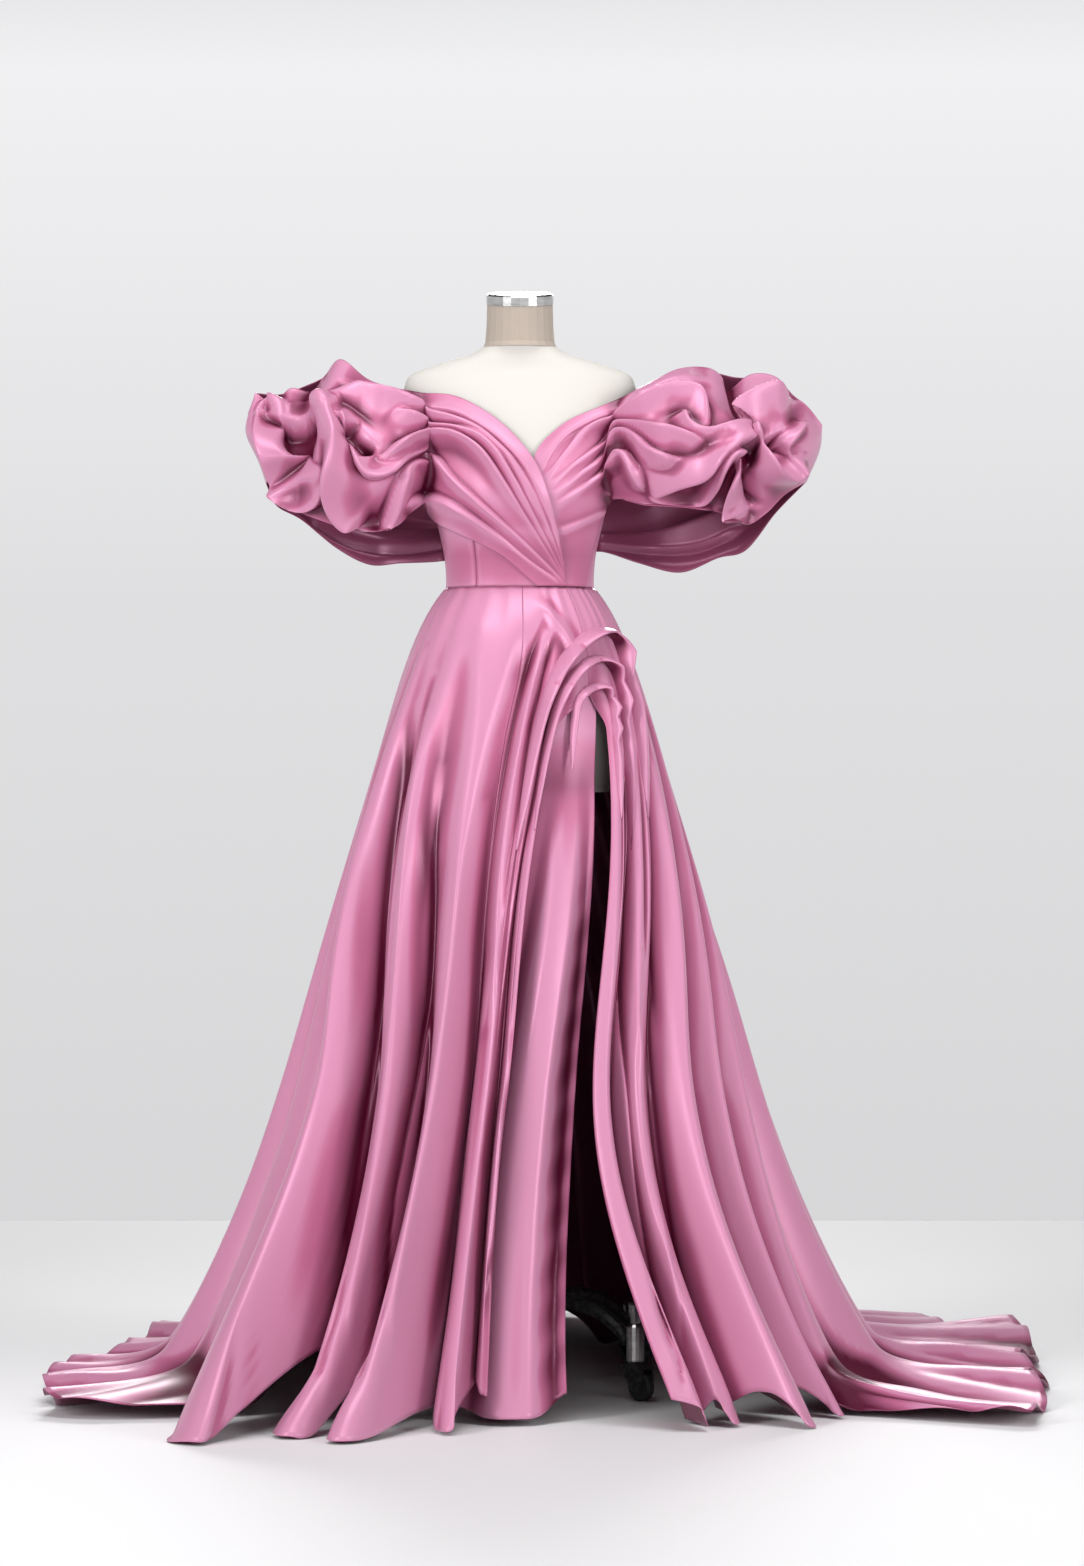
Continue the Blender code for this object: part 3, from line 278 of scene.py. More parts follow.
# Folds of the wraps and sleeves, as lines seen from the front, X and Z in mm. Height of
# the ridge and half width in mm at the start and at the end of each line, and the share of
# the half width on the side that falls steeply (above 0 for the side to the left of the
# line). Below 0 heights are hollows.
FOLDS = {"right": (
    (2, 12, 6, 16, 0.5, ((74, 1321), (52, 1409), (17, 1489), (-23, 1537), (-63, 1568), (-104, 1590),
        (-152, 1598), (-208, 1605), (-256, 1624), (-291, 1643))),
    (2, 26, 5, 20, -0.30, ((76, 1313), (54, 1377), (22, 1449), (-12, 1502), (-39, 1529), (-71, 1553),
        (-112, 1569), (-160, 1582), (-216, 1597), (-272, 1608), (-323, 1611))),
    (2, 24, 5, 14, -0.35, ((76, 1311), (47, 1369), (12, 1433), (-19, 1486), (-41, 1518), (-71, 1542),
        (-112, 1553), (-152, 1560), (-192, 1572), (-227, 1590))),
    (2, 30, 5, 13, -0.40, ((74, 1311), (41, 1364), (1, 1425), (-31, 1473), (-60, 1513), (-92, 1536),
        (-128, 1545), (-163, 1540), (-195, 1524), (-219, 1507), (-230, 1512))),
    (10, 38, 12, 16, 0.35, ((-144, 1534), (-184, 1513), (-211, 1492), (-238, 1486), (-254, 1505),
        (-262, 1536), (-277, 1560), (-296, 1571), (-317, 1568))),
    (2, 14, 5, 10, -0.40, ((73, 1309), (30, 1351), (-23, 1399), (-71, 1441), (-108, 1476), (-134, 1508),
        (-160, 1526))),
    (2, 16, 5, 18, -0.45, ((68, 1309), (17, 1341), (-39, 1385), (-92, 1422), (-136, 1444), (-184, 1441),
        (-205, 1417))),
    (6, 26, 10, 16, -0.5, ((-128, 1502), (-168, 1502), (-189, 1470), (-203, 1436), (-219, 1402),
        (-237, 1388))),
    (34, 34, 20, 18, -0.7, ((-317, 1605), (-309, 1569), (-296, 1529), (-294, 1473), (-280, 1433),
        (-253, 1402))),
    (20, 20, 10, 14, -0.6, ((-384, 1608), (-400, 1605), (-420, 1598), (-424, 1561), (-413, 1521),
        (-400, 1481), (-379, 1447), (-352, 1438), (-327, 1451), (-310, 1486))),
    (-42, -40, 40, 34, 1.0, ((-372, 1586), (-374, 1540), (-368, 1492), (-362, 1470))),
    (-40, -34, 12, 9, 1.0, ((-271, 1554), (-253, 1530), (-236, 1514))),
    (12, 14, 12, 12, -0.7, ((-280, 1433), (-264, 1412), (-237, 1394), (-216, 1402))),
), "left": (
    (2, 12, 6, 16, -0.5, ((33, 1489), (68, 1544), (116, 1576), (169, 1598), (217, 1621), (257, 1638),
        (309, 1640))),
    (2, 26, 5, 14, 0.30, ((41, 1473), (65, 1505), (89, 1536), (107, 1558), (132, 1571), (164, 1576),
        (196, 1587), (228, 1600), (257, 1606), (283, 1600), (296, 1584), (301, 1563))),
    (20, 34, 12, 13, 0.45, ((262, 1582), (267, 1561), (285, 1545), (313, 1540), (346, 1552), (371, 1572),
        (399, 1593), (435, 1605))),
    (2, 24, 5, 12, 0.35, ((44, 1463), (81, 1494), (113, 1518), (139, 1537), (151, 1553), (166, 1563),
        (195, 1556), (227, 1545), (259, 1537), (291, 1529), (309, 1532))),
    (2, 22, 5, 12, 0.40, ((49, 1447), (94, 1481), (126, 1505), (148, 1531), (161, 1547), (176, 1548),
        (193, 1536), (209, 1518), (235, 1505), (261, 1505))),
    (2, 18, 5, 10, 0.50, ((58, 1433), (113, 1470), (148, 1500), (166, 1518), (179, 1502), (192, 1478),
        (206, 1457))),
    (14, 30, 16, 18, -0.30, ((209, 1459), (257, 1479), (297, 1497), (325, 1521), (354, 1544), (376, 1568))),
    (8, 36, 10, 12, -0.50, ((206, 1457), (228, 1446), (270, 1438), (297, 1446), (315, 1473), (326, 1499),
        (339, 1515), (352, 1516), (362, 1503), (358, 1473), (350, 1441), (350, 1418), (363, 1399))),
    (30, 36, 12, 14, 0.50, ((379, 1556), (382, 1523), (395, 1497), (416, 1487), (437, 1494), (456, 1512))),
    (14, 8, 8, 8, 0.8, ((455, 1566), (439, 1544), (424, 1513))),
    (-30, -34, 16, 14, 1.0, ((370, 1537), (368, 1489), (370, 1430))),
    (-30, -30, 16, 14, 1.0, ((405, 1548), (418, 1522), (434, 1526))),
    (6, 14, 14, 16, -0.6, ((135, 1462), (193, 1440), (257, 1426), (313, 1431))),
    (3, 3, 6, 6, 0.6, ((65, 1393), (97, 1406), (129, 1422), (150, 1431))),
)}
BACK_FOLDS = {"right": (
    (3, 14, 10, 14, 0.5, ((-6, 1480), (-80, 1505), (-160, 1560), (-230, 1600), (-300, 1625))),
    (3, 26, 8, 20, -0.5, ((-6, 1455), (-90, 1475), (-170, 1515), (-240, 1560), (-330, 1590))),
    (3, 30, 8, 20, 0.5, ((-6, 1430), (-90, 1440), (-180, 1465), (-270, 1510), (-360, 1540))),
    (3, 26, 8, 18, -0.5, ((-6, 1405), (-90, 1402), (-190, 1412), (-280, 1440), (-370, 1480))),
    (3, 14, 8, 14, 0.5, ((-6, 1385), (-100, 1375), (-200, 1370), (-290, 1390), (-360, 1435))),
), "left": (
    (3, 14, 10, 14, 0.5, ((6, 1480), (80, 1505), (160, 1560), (240, 1605), (320, 1630))),
    (3, 26, 8, 20, -0.5, ((6, 1455), (90, 1475), (170, 1515), (250, 1565), (360, 1600))),
    (3, 30, 8, 20, 0.5, ((6, 1430), (90, 1440), (190, 1465), (290, 1515), (400, 1545))),
    (3, 26, 8, 18, -0.5, ((6, 1405), (90, 1402), (200, 1412), (300, 1445), (410, 1490))),
    (3, 14, 8, 14, 0.5, ((6, 1385), (100, 1375), (200, 1366), (300, 1372), (380, 1410))),
)}
SLEEVE_DEPTH_FRONT = 0.150
SLEEVE_DEPTH_BACK = 0.140
FRONT_COLUMNS = 230
BACK_COLUMNS = 110
SLEEVE_ROWS = 120
LIP_LEAN = 0.6
FOLD_GAIN = 0.3

# The underlay: path length where it starts, and its two edges in degrees at the stations
UNDERLAY_TOP = 0.175
UNDERLAY_EDGES = ((24, 14, -9, -11), (40, 35.5, 15.4, 8.5))

# The rolls of cloth gathered round the top of the slit, from the inside out: half width
# and height of the roll, how far its legs' feet are seated off the skirt, and its line over the
# hip and down both sides of the slit, X and Z, all in mm
ROLLS = (
    (7.0, 17, 2.1, ((84, 1008), (86, 1072), (91, 1113), (103, 1133), (120, 1143), (134, 1143), (144, 1131),
        (150, 1108), (155, 1056), (160, 980), (163, 930))),
    (7.5, 22, 2.8, ((24, 912), (37, 1008), (53, 1088), (69, 1131), (88, 1165), (109, 1184), (128, 1190),
        (145, 1179), (157, 1153), (166, 1104), (174, 1000), (179, 880))),
    (9.5, 27, 3.3, ((-4, 880), (12, 976), (28, 1064), (43, 1120), (62, 1168), (86, 1204), (113, 1229),
        (138, 1236), (153, 1223), (164, 1192), (174, 1155), (184, 1110), (195, 1040), (207, 930))),
)
ROLL_STATIONS = 170
ROLL_LEAN = -0.5
CRUMPLES = 0.40
CRUMPLE_PLACES = (0, 0.25, 0.33, 0.38, 0.44, 0.48, 0.53, 0.57, 0.62, 0.67, 0.75, 1)
CRUMPLE_RISES = (0, 0, 0.7, -0.6, 0.5, -0.7, 0.8, -0.5, 0.6, -0.8, 0, 0)


def smoothstep(low, high, value):
    t = np.clip((value - low) / (high - low), 0.0, 1.0)
    return t * t * (3.0 - 2.0 * t)


def soft_max(a, b, width):
    """The larger of a and b, rounded where they are within width of each other."""
    h = np.clip(0.5 + 0.5 * (a - b) / width, 0.0, 1.0)
    return b + (a - b) * h + width * h * (1.0 - h)


def through(points, count):
    """A smooth curve through points, at count places spaced evenly along it."""
    p = np.array(points, float)
    padded = np.vstack([2 * p[0] - p[1], p, 2 * p[-1] - p[-2]])
    fine = []
    for i in range(len(p) - 1):
        a, b, c, d = padded[i:i + 4]
        for t in np.linspace(0, 1, 12, endpoint=False):
            fine.append(0.5 * (2 * b + (c - a) * t + (2 * a - 5 * b + 4 * c - d) * t ** 2
                               + (3 * b - a - 3 * c + d) * t ** 3))
    fine = np.array(fine + [p[-1]])
    along = np.concatenate([[0], np.cumsum(np.linalg.norm(np.diff(fine, axis=0), axis=1))])
    wanted = np.asarray(count, float) * along[-1] if np.ndim(count) else np.linspace(0, along[-1], count)
    return np.stack([np.interp(wanted, along, fine[:, k]) for k in range(p.shape[1])], axis=1)


def unit(vectors):
    length = np.linalg.norm(vectors, axis=-1, keepdims=True)
    return vectors / np.maximum(length, 1e-9)


def grid_normals(grid):
    """Unit normals of a grid of points, first axis by second axis, from its squares."""
    squares = unit(np.cross(grid[1:, 1:] - grid[:-1, :-1], grid[:-1, 1:] - grid[1:, :-1]))
    total = np.zeros(grid.shape)
    sides = (slice(1, None), slice(None, -1))
    for columns in sides:
        for rows in sides:
            total[rows, columns] += squares
    return unit(total)


def blurred(values, times):
    """A grid of values or of points smoothed along its first two axes, with its edges kept."""
    made = values.copy()
    for _ in range(times):
        made[1:-1] = (made[:-2] + 2 * made[1:-1] + made[2:]) / 4
        made[:, 1:-1] = (made[:, :-2] + 2 * made[:, 1:-1] + made[:, 2:]) / 4
    return made


def add_object(name, data):
    made = bpy.data.objects.new(name, data)
    bpy.context.scene.collection.objects.link(made)
    return made


def mesh_piece(name, vertices, quads, look, replaced=(), smooth=True):
    """A new object from points and quads and the nodes that it replaces."""
    mesh = bpy.data.meshes.new(name)
    mesh.from_pydata([], [], [])
    mesh.vertices.add(len(vertices))
    mesh.vertices.foreach_set("co", (vertices + 0.0).astype(np.float32).ravel())
    quads = np.asarray(quads, np.int32)
    size = quads.shape[1]
    mesh.loops.add(quads.size)
    mesh.loops.foreach_set("vertex_index", quads.ravel())
    mesh.polygons.add(len(quads))
    mesh.polygons.foreach_set("loop_start", np.arange(0, quads.size, size, dtype=np.int32))
    mesh.update(calc_edges=True)
    mesh.validate()
    mesh.materials.append(look)
    if smooth:
        mesh.shade_smooth()
    made = add_object(name, mesh)
    for node in replaced:
        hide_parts(node)
    return made


def grid_quads(index):
    """Quads between the neighbours in a grid of point numbers."""
    corners = [index[:-1, :-1], index[1:, :-1], index[1:, 1:], index[:-1, 1:]]
    return np.stack(corners, -1).reshape(-1, 4)


def wall_quads(columns, rows):
    """Quads of a closed wall over a grid: outer points first, then inner points."""
    shift = columns * rows
    index = np.arange(shift).reshape(columns, rows)
    outer = grid_quads(index)
    inner = outer[:, ::-1] + shift
    rim = []
    for line in (index[:, 0][::-1], index[:, -1], index[0], index[-1][::-1]):
        rim.append(np.stack([line[:-1], line[1:], line[1:] + shift, line[:-1] + shift], -1))
    return np.concatenate([outer, inner] + rim)


def painted_shade_mask(outer, turn):
    """How far each point of a grid lies in a hollow of the cloth, 0 to 1, at two scales, a little below 0
    on ridges: the mask for the painted shade in the folds' hollows and the painted highlight on their
    ridges.
    """
    normals = grid_normals(outer) * turn
    found = np.zeros(outer.shape[:2])
    for times, depth, share in ((8, 0.0006, 0.35), (90, 0.0070, 0.85)):
        smooth = blurred(outer, times)
        below = np.sum((smooth - outer) * normals, -1)
        found += share * np.clip(below / depth, -0.35, 1.0)
    return np.clip(found, -0.25, 1.0)


def cloth_piece(name, outer, turn, look, replaced, thick=CLOTH):
    """A thin shell whose outer face is a grid of points in the gown frame."""
    inner = outer - grid_normals(outer) * turn * thick
    quads = wall_quads(*outer.shape[:2])
    if turn < 0:
        quads = quads[:, ::-1]
    points = np.concatenate([outer.reshape(-1, 3), inner.reshape(-1, 3)]) + ORIGIN
    made = mesh_piece(name, points, quads, look, replaced)
    # Painted shade and highlight: an attribute per point that the satin turns into a darker colour in the
    # folds' hollows and on the inner face, and a paler one on ridges
    shade = np.concatenate([painted_shade_mask(outer, turn).ravel(), np.full(inner[..., 0].size, INSIDE_SHADE)])
    attribute = made.data.attributes.new("painted_shade_and_highlight", "FLOAT", "POINT")
    attribute.data.foreach_set("value", shade.astype(np.float32))
    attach(made, BODY)
    return made


def grid_area(grid):
    across = np.cross(grid[1:, :-1] - grid[:-1, :-1], grid[:-1, 1:] - grid[:-1, :-1])
    return float(np.linalg.norm(across, axis=-1).sum())


def hermite(v0, v1, m0, m1, h, t):
    """A smooth step of length h from v0 with slope m0 to v1 with slope m1, at the share t."""
    return (v0 * (1 + 2 * t) * (1 - t) ** 2 + v1 * t ** 2 * (3 - 2 * t)
            + h * m0 * t * (1 - t) ** 2 + h * m1 * t ** 2 * (t - 1))


def stationed(values, s):
    """Table values at STATIONS, on the last axis, joined by a smooth curve along the path."""
    s = np.clip(s, STATIONS[0], STATIONS[-1])
    i = np.clip(np.searchsorted(STATIONS, s, side="right") - 1, 0, len(STATIONS) - 2)
    values = np.asarray(values, float)
    slopes = np.gradient(values, STATIONS, axis=-1)
    slopes[..., 0] = slopes[..., -1] = 0.0
    ends = []
    for table in (values, slopes):
        table = np.broadcast_to(table, s.shape + (len(STATIONS),))
        ends += [np.take_along_axis(table, (i + k)[..., None], -1)[..., 0] for k in (0, 1)]
    h = STATIONS[i + 1] - STATIONS[i]
    return hermite(*ends, h, (s - STATIONS[i]) / h)


def flute_value(column, u):
    """A column of the flute table at the fractional flute number u, level at each crest."""
    i = np.floor(u).astype(int)
    t = u - i
    t = t * t * (3 - 2 * t)
    first, second = FLUTES[i % len(FLUTES), column], FLUTES[(i + 1) % len(FLUTES), column]
    return first + (second - first) * t


def flute_angle(u, s):
    """The angle in degrees, from the front, of the fractional flute number u."""
    i = np.floor(u).astype(int)
    ends = []
    for k in (i, i + 1):
        turns, row = np.divmod(k, len(FLUTES))
        ends.append(stationed(FLUTES[row][..., :4], s) + 360.0 * turns)
    valley = 0.5 + (FLUTES[i % len(FLUTES), 9] - 0.5) * smoothstep(0.2, 0.9, s)
    t = u - i
    share = np.where(t < 0.5, t / 0.5 * valley, valley + (t - 0.5) / 0.5 * (1 - valley))
    return ends[0] + (ends[1] - ends[0]) * share


def skirt_spread(drop):
    """How far the skirt's valleys have spread past the waist at a height drop below it."""
    cone = HIP_SPRING * (1 - np.exp(-drop / HIP_SPRING_DEPTH)) + FLARE * drop + HEM_KICK * drop ** 4
    return cone - VALLEY_INSET * smoothstep(0.15, 1.25, drop)


def skirt_creases(u, s):
    """Height of the small creases at flute number u and path length s."""
    total = np.zeros(np.broadcast(u, s).shape)
    for u0, s0, u1, s1, half, height in SKIRT_CREASES:
        t = np.clip((s - s0) / (s1 - s0), 0, 1)
        fade = np.sin(math.pi * t) ** 0.7
        line = u0 + (u1 - u0) * t
        total = total + height / 1000 * fade * np.exp(-((u - line) / half) ** 2)
    return total


def from_camera(points):
    """X and Z of points as seen from the camera, on the plane through the pole, in metres."""
    scale = -CAMERA_PLACE[1] / (points[..., 1] - CAMERA_PLACE[1])
    x = CAMERA_PLACE[0] + (points[..., 0] - CAMERA_PLACE[0]) * scale
    return x, CAMERA_PLACE[2] + (points[..., 2] - CAMERA_PLACE[2]) * scale


def placed_folds(points, folds, widening):
    """Height of the folds placed on the skirt's front."""
    x, z = from_camera(points)
    x, z = x * 1000, z * 1000
    total = np.zeros(x.shape)
    for height, left, right, fade_in, fade_out, line in folds:
        path = through(line, 80)
        along = np.interp(-z, -path[:, 1], path[:, 0])
        fade = smoothstep(path[0, 1], path[0, 1] - fade_in, z)
        if fade_out > RUNS_ON:
            fade = fade * (1 - smoothstep(path[-1, 1] + fade_out, path[-1, 1] + 0.1, z))
        width = np.where(x < along, left, right)
        width = width * (1 - widening * smoothstep(path[-1, 1], path[0, 1], z))
        total = total + height / 1000 * fade * np.exp(-np.abs((x - along) / width) ** 1.7)
    return total * smoothstep(0.15, 0.6, grid_normals(points)[..., 1])


def swung_feet(points, u, s):
    """The grid of a front panel with the feet of its flutes swung round and out."""
    across = unit(np.gradient(points, axis=0))
    out = unit(points * (1, 1, 0) + 1e-9)
    made = points.copy()
    for flute, swing, kick, half, start in FEET:
        share = np.exp(-((u - flute) / half) ** 2) * smoothstep(start, FOOT_END, s) ** 1.5
        made += (across * swing + out * kick) / 1000 * share[..., None]
    made[..., 2] = np.maximum(made[..., 2], FLOOR_GAP)
    return made


def skirt_point(u, s, inset=0.0):
    """Points of the skirt at flute number u and path length s down from the waist."""
    u, s = np.broadcast_arrays(np.asarray(u, float), np.asarray(s, float))
    rounding = np.where((u > -1) & (u < 4.5), RIGHT_HEM_ROUNDING, HEM_ROUNDING) * smoothstep(1.1, 1.36, s)
    power = 1.15 - flute_value(10, u) * smoothstep(0.3, 1.2, s) - rounding
    crest = (0.5 + 0.5 * np.cos(2 * math.pi * u)) ** power
    knee, foot, train, fold = (flute_value(k, u) / 1000 for k in (4, 5, 6, 7))
    laid = smoothstep(0.02, 0.20, train)
    bend = HEM_BEND[0] + HEM_BEND[1] * laid
    height = WAIST_Z - FLOOR_GAP - s * SLANT
    z = bend * np.logaddexp(0.0, height / bend)
    past = bend * np.logaddexp(0.0, -height / bend) / SLANT
    flat = laid / (1.0 + np.exp(np.clip(height / bend, -50, 50)))
    grown = knee * smoothstep(0.02, 0.95, s) ** 1.3 + (foot - knee) * smoothstep(0.70, 1.40, s) ** 1.4
    fold = fold * (0.85 + 0.12 * np.sin(6.0 * past + 2.3 * u) - 0.35 * smoothstep(0.1, 0.7, past)
                   + 1.0 * np.exp(-past / 0.10))
    ripple = 0.010 * np.cos(4 * math.pi * u + 5.0 * past) + 0.004 * np.sin(17 * past + 8.3 * u)
    wave = (grown * (1 - flat) + (fold + np.abs(ripple) * smoothstep(0.05, 0.2, past)) * flat) * crest
    small = skirt_creases(u, s) + 0.0012 * np.sin(9.1 * u + 3.0 * s) * np.sin(5.3 * s - 2.1 * u)
    out = skirt_spread(WAIST_Z - FLOOR_GAP - z) + past - inset + (wave + small) * (1 - flat)
    angle = np.radians(flute_angle(u, s))
    depth = np.where(np.cos(angle) > 0, WAIST_FRONT, WAIST_BACK)
    x = (WAIST_HALF_WIDTH + out) * np.sin(angle)
    y = -(depth + out * DEPTH_RATIO) * np.cos(angle)
    return np.stack([x, y, z + (wave + np.abs(small)) * flat + FLOOR_GAP], -1)


def skirt_length(u):
    """Path length from the waist to the hem at flute number u."""
    lift = flute_value(8, u) / 1000 * smoothstep(0.10, 0.48, np.abs(u - np.round(u)))
    lift = lift * np.where((u > 10) & (u < 23), 1.0 - 0.5 * smoothstep(19.9, 20.2, u), RIGHT_HEM_LIFT)
    lift = lift + HEM_WAVER * np.sin(7.7 * u) * smoothstep(0.0, 0.1, flute_value(6, u) / 1000)
    return CONE_LENGTH - lift + flute_value(6, u) / 1000


def panel_edge(u, s, inward):
    """The flute number of a panel's edge at path length s."""
    radius = np.linalg.norm(skirt_point(u, s)[..., :2], axis=-1)
    flute = np.radians(np.abs(flute_angle(u + 0.5 + 0 * s, s) - flute_angle(u - 0.5 + 0 * s, s))) * radius
    edge = u + inward * EDGE_GAP / flute
    if u in SLIT_EDGES:
        spread = SLIT_SPREAD[SLIT_EDGES.index(u)]
        edge = edge + inward * spread * smoothstep(SLIT_TOP, SLIT_TOP + 0.075, s)
    return edge


def skirt_panel(name, look):
    """One panel of the skirt with its folds, and the area of cloth that shows."""
    low, high = PANELS[name]
    columns = FRONT_COLUMNS_PER_FLUTE if name in FRONT_PANELS else COLUMNS_PER_FLUTE
    share = np.linspace(0, 1, int((high - low) * columns) + 1)[:, None]
    rows = np.linspace(0, 1, SKIRT_ROWS)[None, :]
    rows = rows - 0.10 * np.sin(math.pi * rows) * (1 - rows)
    length = skirt_length(low + (high - low) * share)
    s = rows * length
    u = panel_edge(low, s, 1) * (1 - share) + panel_edge(high, s, -1) * share
    outer = skirt_point(u, s)
    if name in FRONT_PANELS:
        out = unit(outer * (1, 1, 0) * (1 / WAIST_HALF_WIDTH ** 2, 1 / WAIST_FRONT ** 2, 0) + 1e-9)
        folds = placed_folds(outer, FRONT_FOLDS, 0.0)[..., None] * smoothstep(0.02, 0.2, outer[..., 2:3])
        folds = folds + placed_folds(outer, HEM_FOLDS, 0.7)[..., None]
        outer = swung_feet(outer + out * folds, u, s)
    outer[:, 0, 2] = WAIST_Z - SEAM / 2
    made = cloth_piece(name, outer, -1.0, look, (name,))
    return made, grid_area(outer)


def torso_section(z):
    """Half width, front depth and back depth of the form at heights z, joined smoothly."""
    z = np.asarray(z, float)
    knots = TORSO[:, 0]
    i = np.clip(np.searchsorted(knots, z, side="right") - 1, 0, len(knots) - 2)
    h = knots[i + 1] - knots[i]
    t = np.clip((z - knots[i]) / h, 0, 1)
    made = []
    for v in TORSO.T[1:]:
        slopes = np.gradient(v, knots)
        made.append(hermite(v[i], v[i + 1], slopes[i], slopes[i + 1], h, t))
    return made


def torso_point(angle, z, layer=0.0):
    """Points outside the form, at angles in degrees from the front."""
    width, front, back = torso_section(z)
    a = np.radians(angle)
    depth = np.where(np.cos(a) > 0, front, back)
    x = (width + layer) * np.sin(a)
    y = -(depth + layer) * np.cos(a)
    return np.stack(np.broadcast_arrays(x, y, z + 0 * a), -1)


def torso_depth(x, z, side, layers):
    """Depth of the form with a layer, in front (side 2) or behind (side 3), over X, Z."""
    section = torso_section(z)
    width = section[0]
    layer = layers[0] + (layers[1] - layers[0]) * smoothstep(WAIST_Z, WAIST_Z + 0.09, z)
    layer = layer + 0.004 * smoothstep(0.5, 0.95, np.abs(x) / width)
    depth = section[side - 1] + layer
    inside = np.clip(1 - (x / (width + layer)) ** 2, 0.0, 1.0)
    return depth * np.sqrt(inside)


def fold_field(folds, x, z):
    """Height of the highest fold with the deepest hollow at each point X, Z, and how far
    its lip leans over its steep side in X and in Z, in metres."""
    raised, sunk = np.zeros_like(x), np.zeros_like(x)
    lean = np.zeros(x.shape + (2,))
    for start_h, end_h, start_w, end_w, steep, line in folds:
        path = through(line, 60) / 1000
        best = np.full(x.shape, np.inf)
        side, along = np.zeros_like(x), np.zeros_like(x)
        across = np.zeros(x.shape + (2,))
        for k in range(len(path) - 1):
            a, b = path[k], path[k + 1]
            d = b - a
            t = np.clip(((x - a[0]) * d[0] + (z - a[1]) * d[1]) / (d @ d), 0, 1)
            ex, ez = x - a[0] - t * d[0], z - a[1] - t * d[1]
            distance = np.hypot(ex, ez)
            nearer = distance < best
            best = np.where(nearer, distance, best)
            side = np.where(nearer, np.sign(d[0] * ez - d[1] * ex), side)
            along = np.where(nearer, (k + t) / (len(path) - 1), along)
            left = np.array([-d[1], d[0]]) / np.hypot(*d)
            across = np.where(nearer[..., None], left, across)
        width = (start_w + (end_w - start_w) * along) / 1000
        narrow = width * abs(steep)
        height = (start_h + (end_h - start_h) * smoothstep(0.15, 0.75, along)) / 1000
        height = height * smoothstep(-0.02, 0.05, along) * (1 - 0.8 * smoothstep(0.88, 1.0, along))
        gentle = height * np.exp(-((best / width) ** 1.4))
        bump = np.where(side * steep > 0, height * np.exp(-((best / narrow) ** 2)), gentle)
        if start_h > 0:
            over = LIP_LEAN * height * np.exp(-((best / (0.8 * width)) ** 2)) * (1 - abs(steep))
            top = bump > raised
            lean = np.where(top[..., None], across * (over * np.sign(steep))[..., None], lean)
            raised = np.where(top, bump, raised)
        else:
            sunk = np.minimum(sunk, bump)
    return raised + sunk, lean


def patch(top, bottom, inner, outer, s, t):
    """A Coons patch in X and Z between four curves, at the s and t given."""
    up, down = through(top, s), through(bottom, s)
    left, right = through(inner, t), through(outer, t)
    s, t = s[:, None, None], t[None, :, None]
    edges = (1 - t) * up[:, None] + t * down[:, None] + (1 - s) * left[None] + s * right[None]
    corners = ((1 - s) * (1 - t) * up[0] + s * (1 - t) * up[-1]
               + (1 - s) * t * down[0] + s * t * down[-1])
    return (edges - corners) / 1000


def sleeve_face(name, back, columns, rows, layers):
    """One face of a sleeve with its wrap: points from the bodice out to the sleeve's end."""
    outline = OUTLINES[name]
    s = np.linspace(0, 1, columns)
    s = 0.65 * s + 0.35 * np.sin(s * math.pi / 2)
    t = np.linspace(0, 1, rows)
    top = outline["back_top" if back else "top"]
    bottom = outline["back_bottom" if back else "bottom"]
    plane = patch(top, bottom, (top[0], bottom[0]), outline["outer"], s, t)
    x, z = plane[..., 0], plane[..., 1]
    s, t = np.broadcast_to(s[:, None], x.shape), np.broadcast_to(t[None], x.shape)
    reach = np.abs(x)
    dome = SLEEVE_DEPTH_BACK if back else SLEEVE_DEPTH_FRONT
    closing = np.clip(s - 0.66, 0, 1) / 0.34
    swell = smoothstep(0.04, 0.24, reach) * np.sqrt(1 - closing ** 2)
    arm = 1 - smoothstep(0.21, 0.32, reach)
    top_open = 0.05 + 0.42 * arm
    across = top_open + (1 - top_open) * np.sin(np.clip(t / 0.62, 0, 1) * math.pi / 2)
    across = across * (1 - 0.45 * smoothstep(0.62, 1.0, t))
    puff = dome * swell * across
    body = torso_depth(x, z, 3 if back else 2, layers)
    depth = soft_max(body, puff, 0.02)
    sign = 1.0 if back else -1.0
    base = np.stack([x, sign * depth, z], axis=-1)
    ridge, lean = fold_field((BACK_FOLDS if back else FOLDS)[name], x, z)
    ridge = ridge * (1 + FOLD_GAIN * smoothstep(0.14, 0.22, reach))
    ends = 1 - 0.7 * smoothstep(0.93, 1.0, s)
    rim = np.minimum(smoothstep(0, 0.08, t), smoothstep(0, 0.08, 1 - t)) * ends
    shift = np.stack([lean[..., 0] * rim, np.zeros_like(x), lean[..., 1] * rim], -1)
    return base, blurred(ridge * ends, 1), blurred(shift, 3)


def sleeve(name, layers, look):
    """A wrap and its sleeve as one strip: over the front, round the arm, over the back."""
    faces = (sleeve_face(name, False, FRONT_COLUMNS, SLEEVE_ROWS, layers),
             sleeve_face(name, True, BACK_COLUMNS, SLEEVE_ROWS, UNDER_WRAP_LAYERS))
    base, ridge, shift = (np.concatenate([f, b[::-1][1:]]) for f, b in zip(*faces))
    turn = -1.0 if name == "left" else 1.0
    normal = unit(blurred(grid_normals(base) * turn, 6))
    outer = base + normal * ridge[..., None] + shift
    made = cloth_piece("sleeve_" + name, outer, turn, look, ("sleeve_" + name,))
    return made, grid_area(outer)


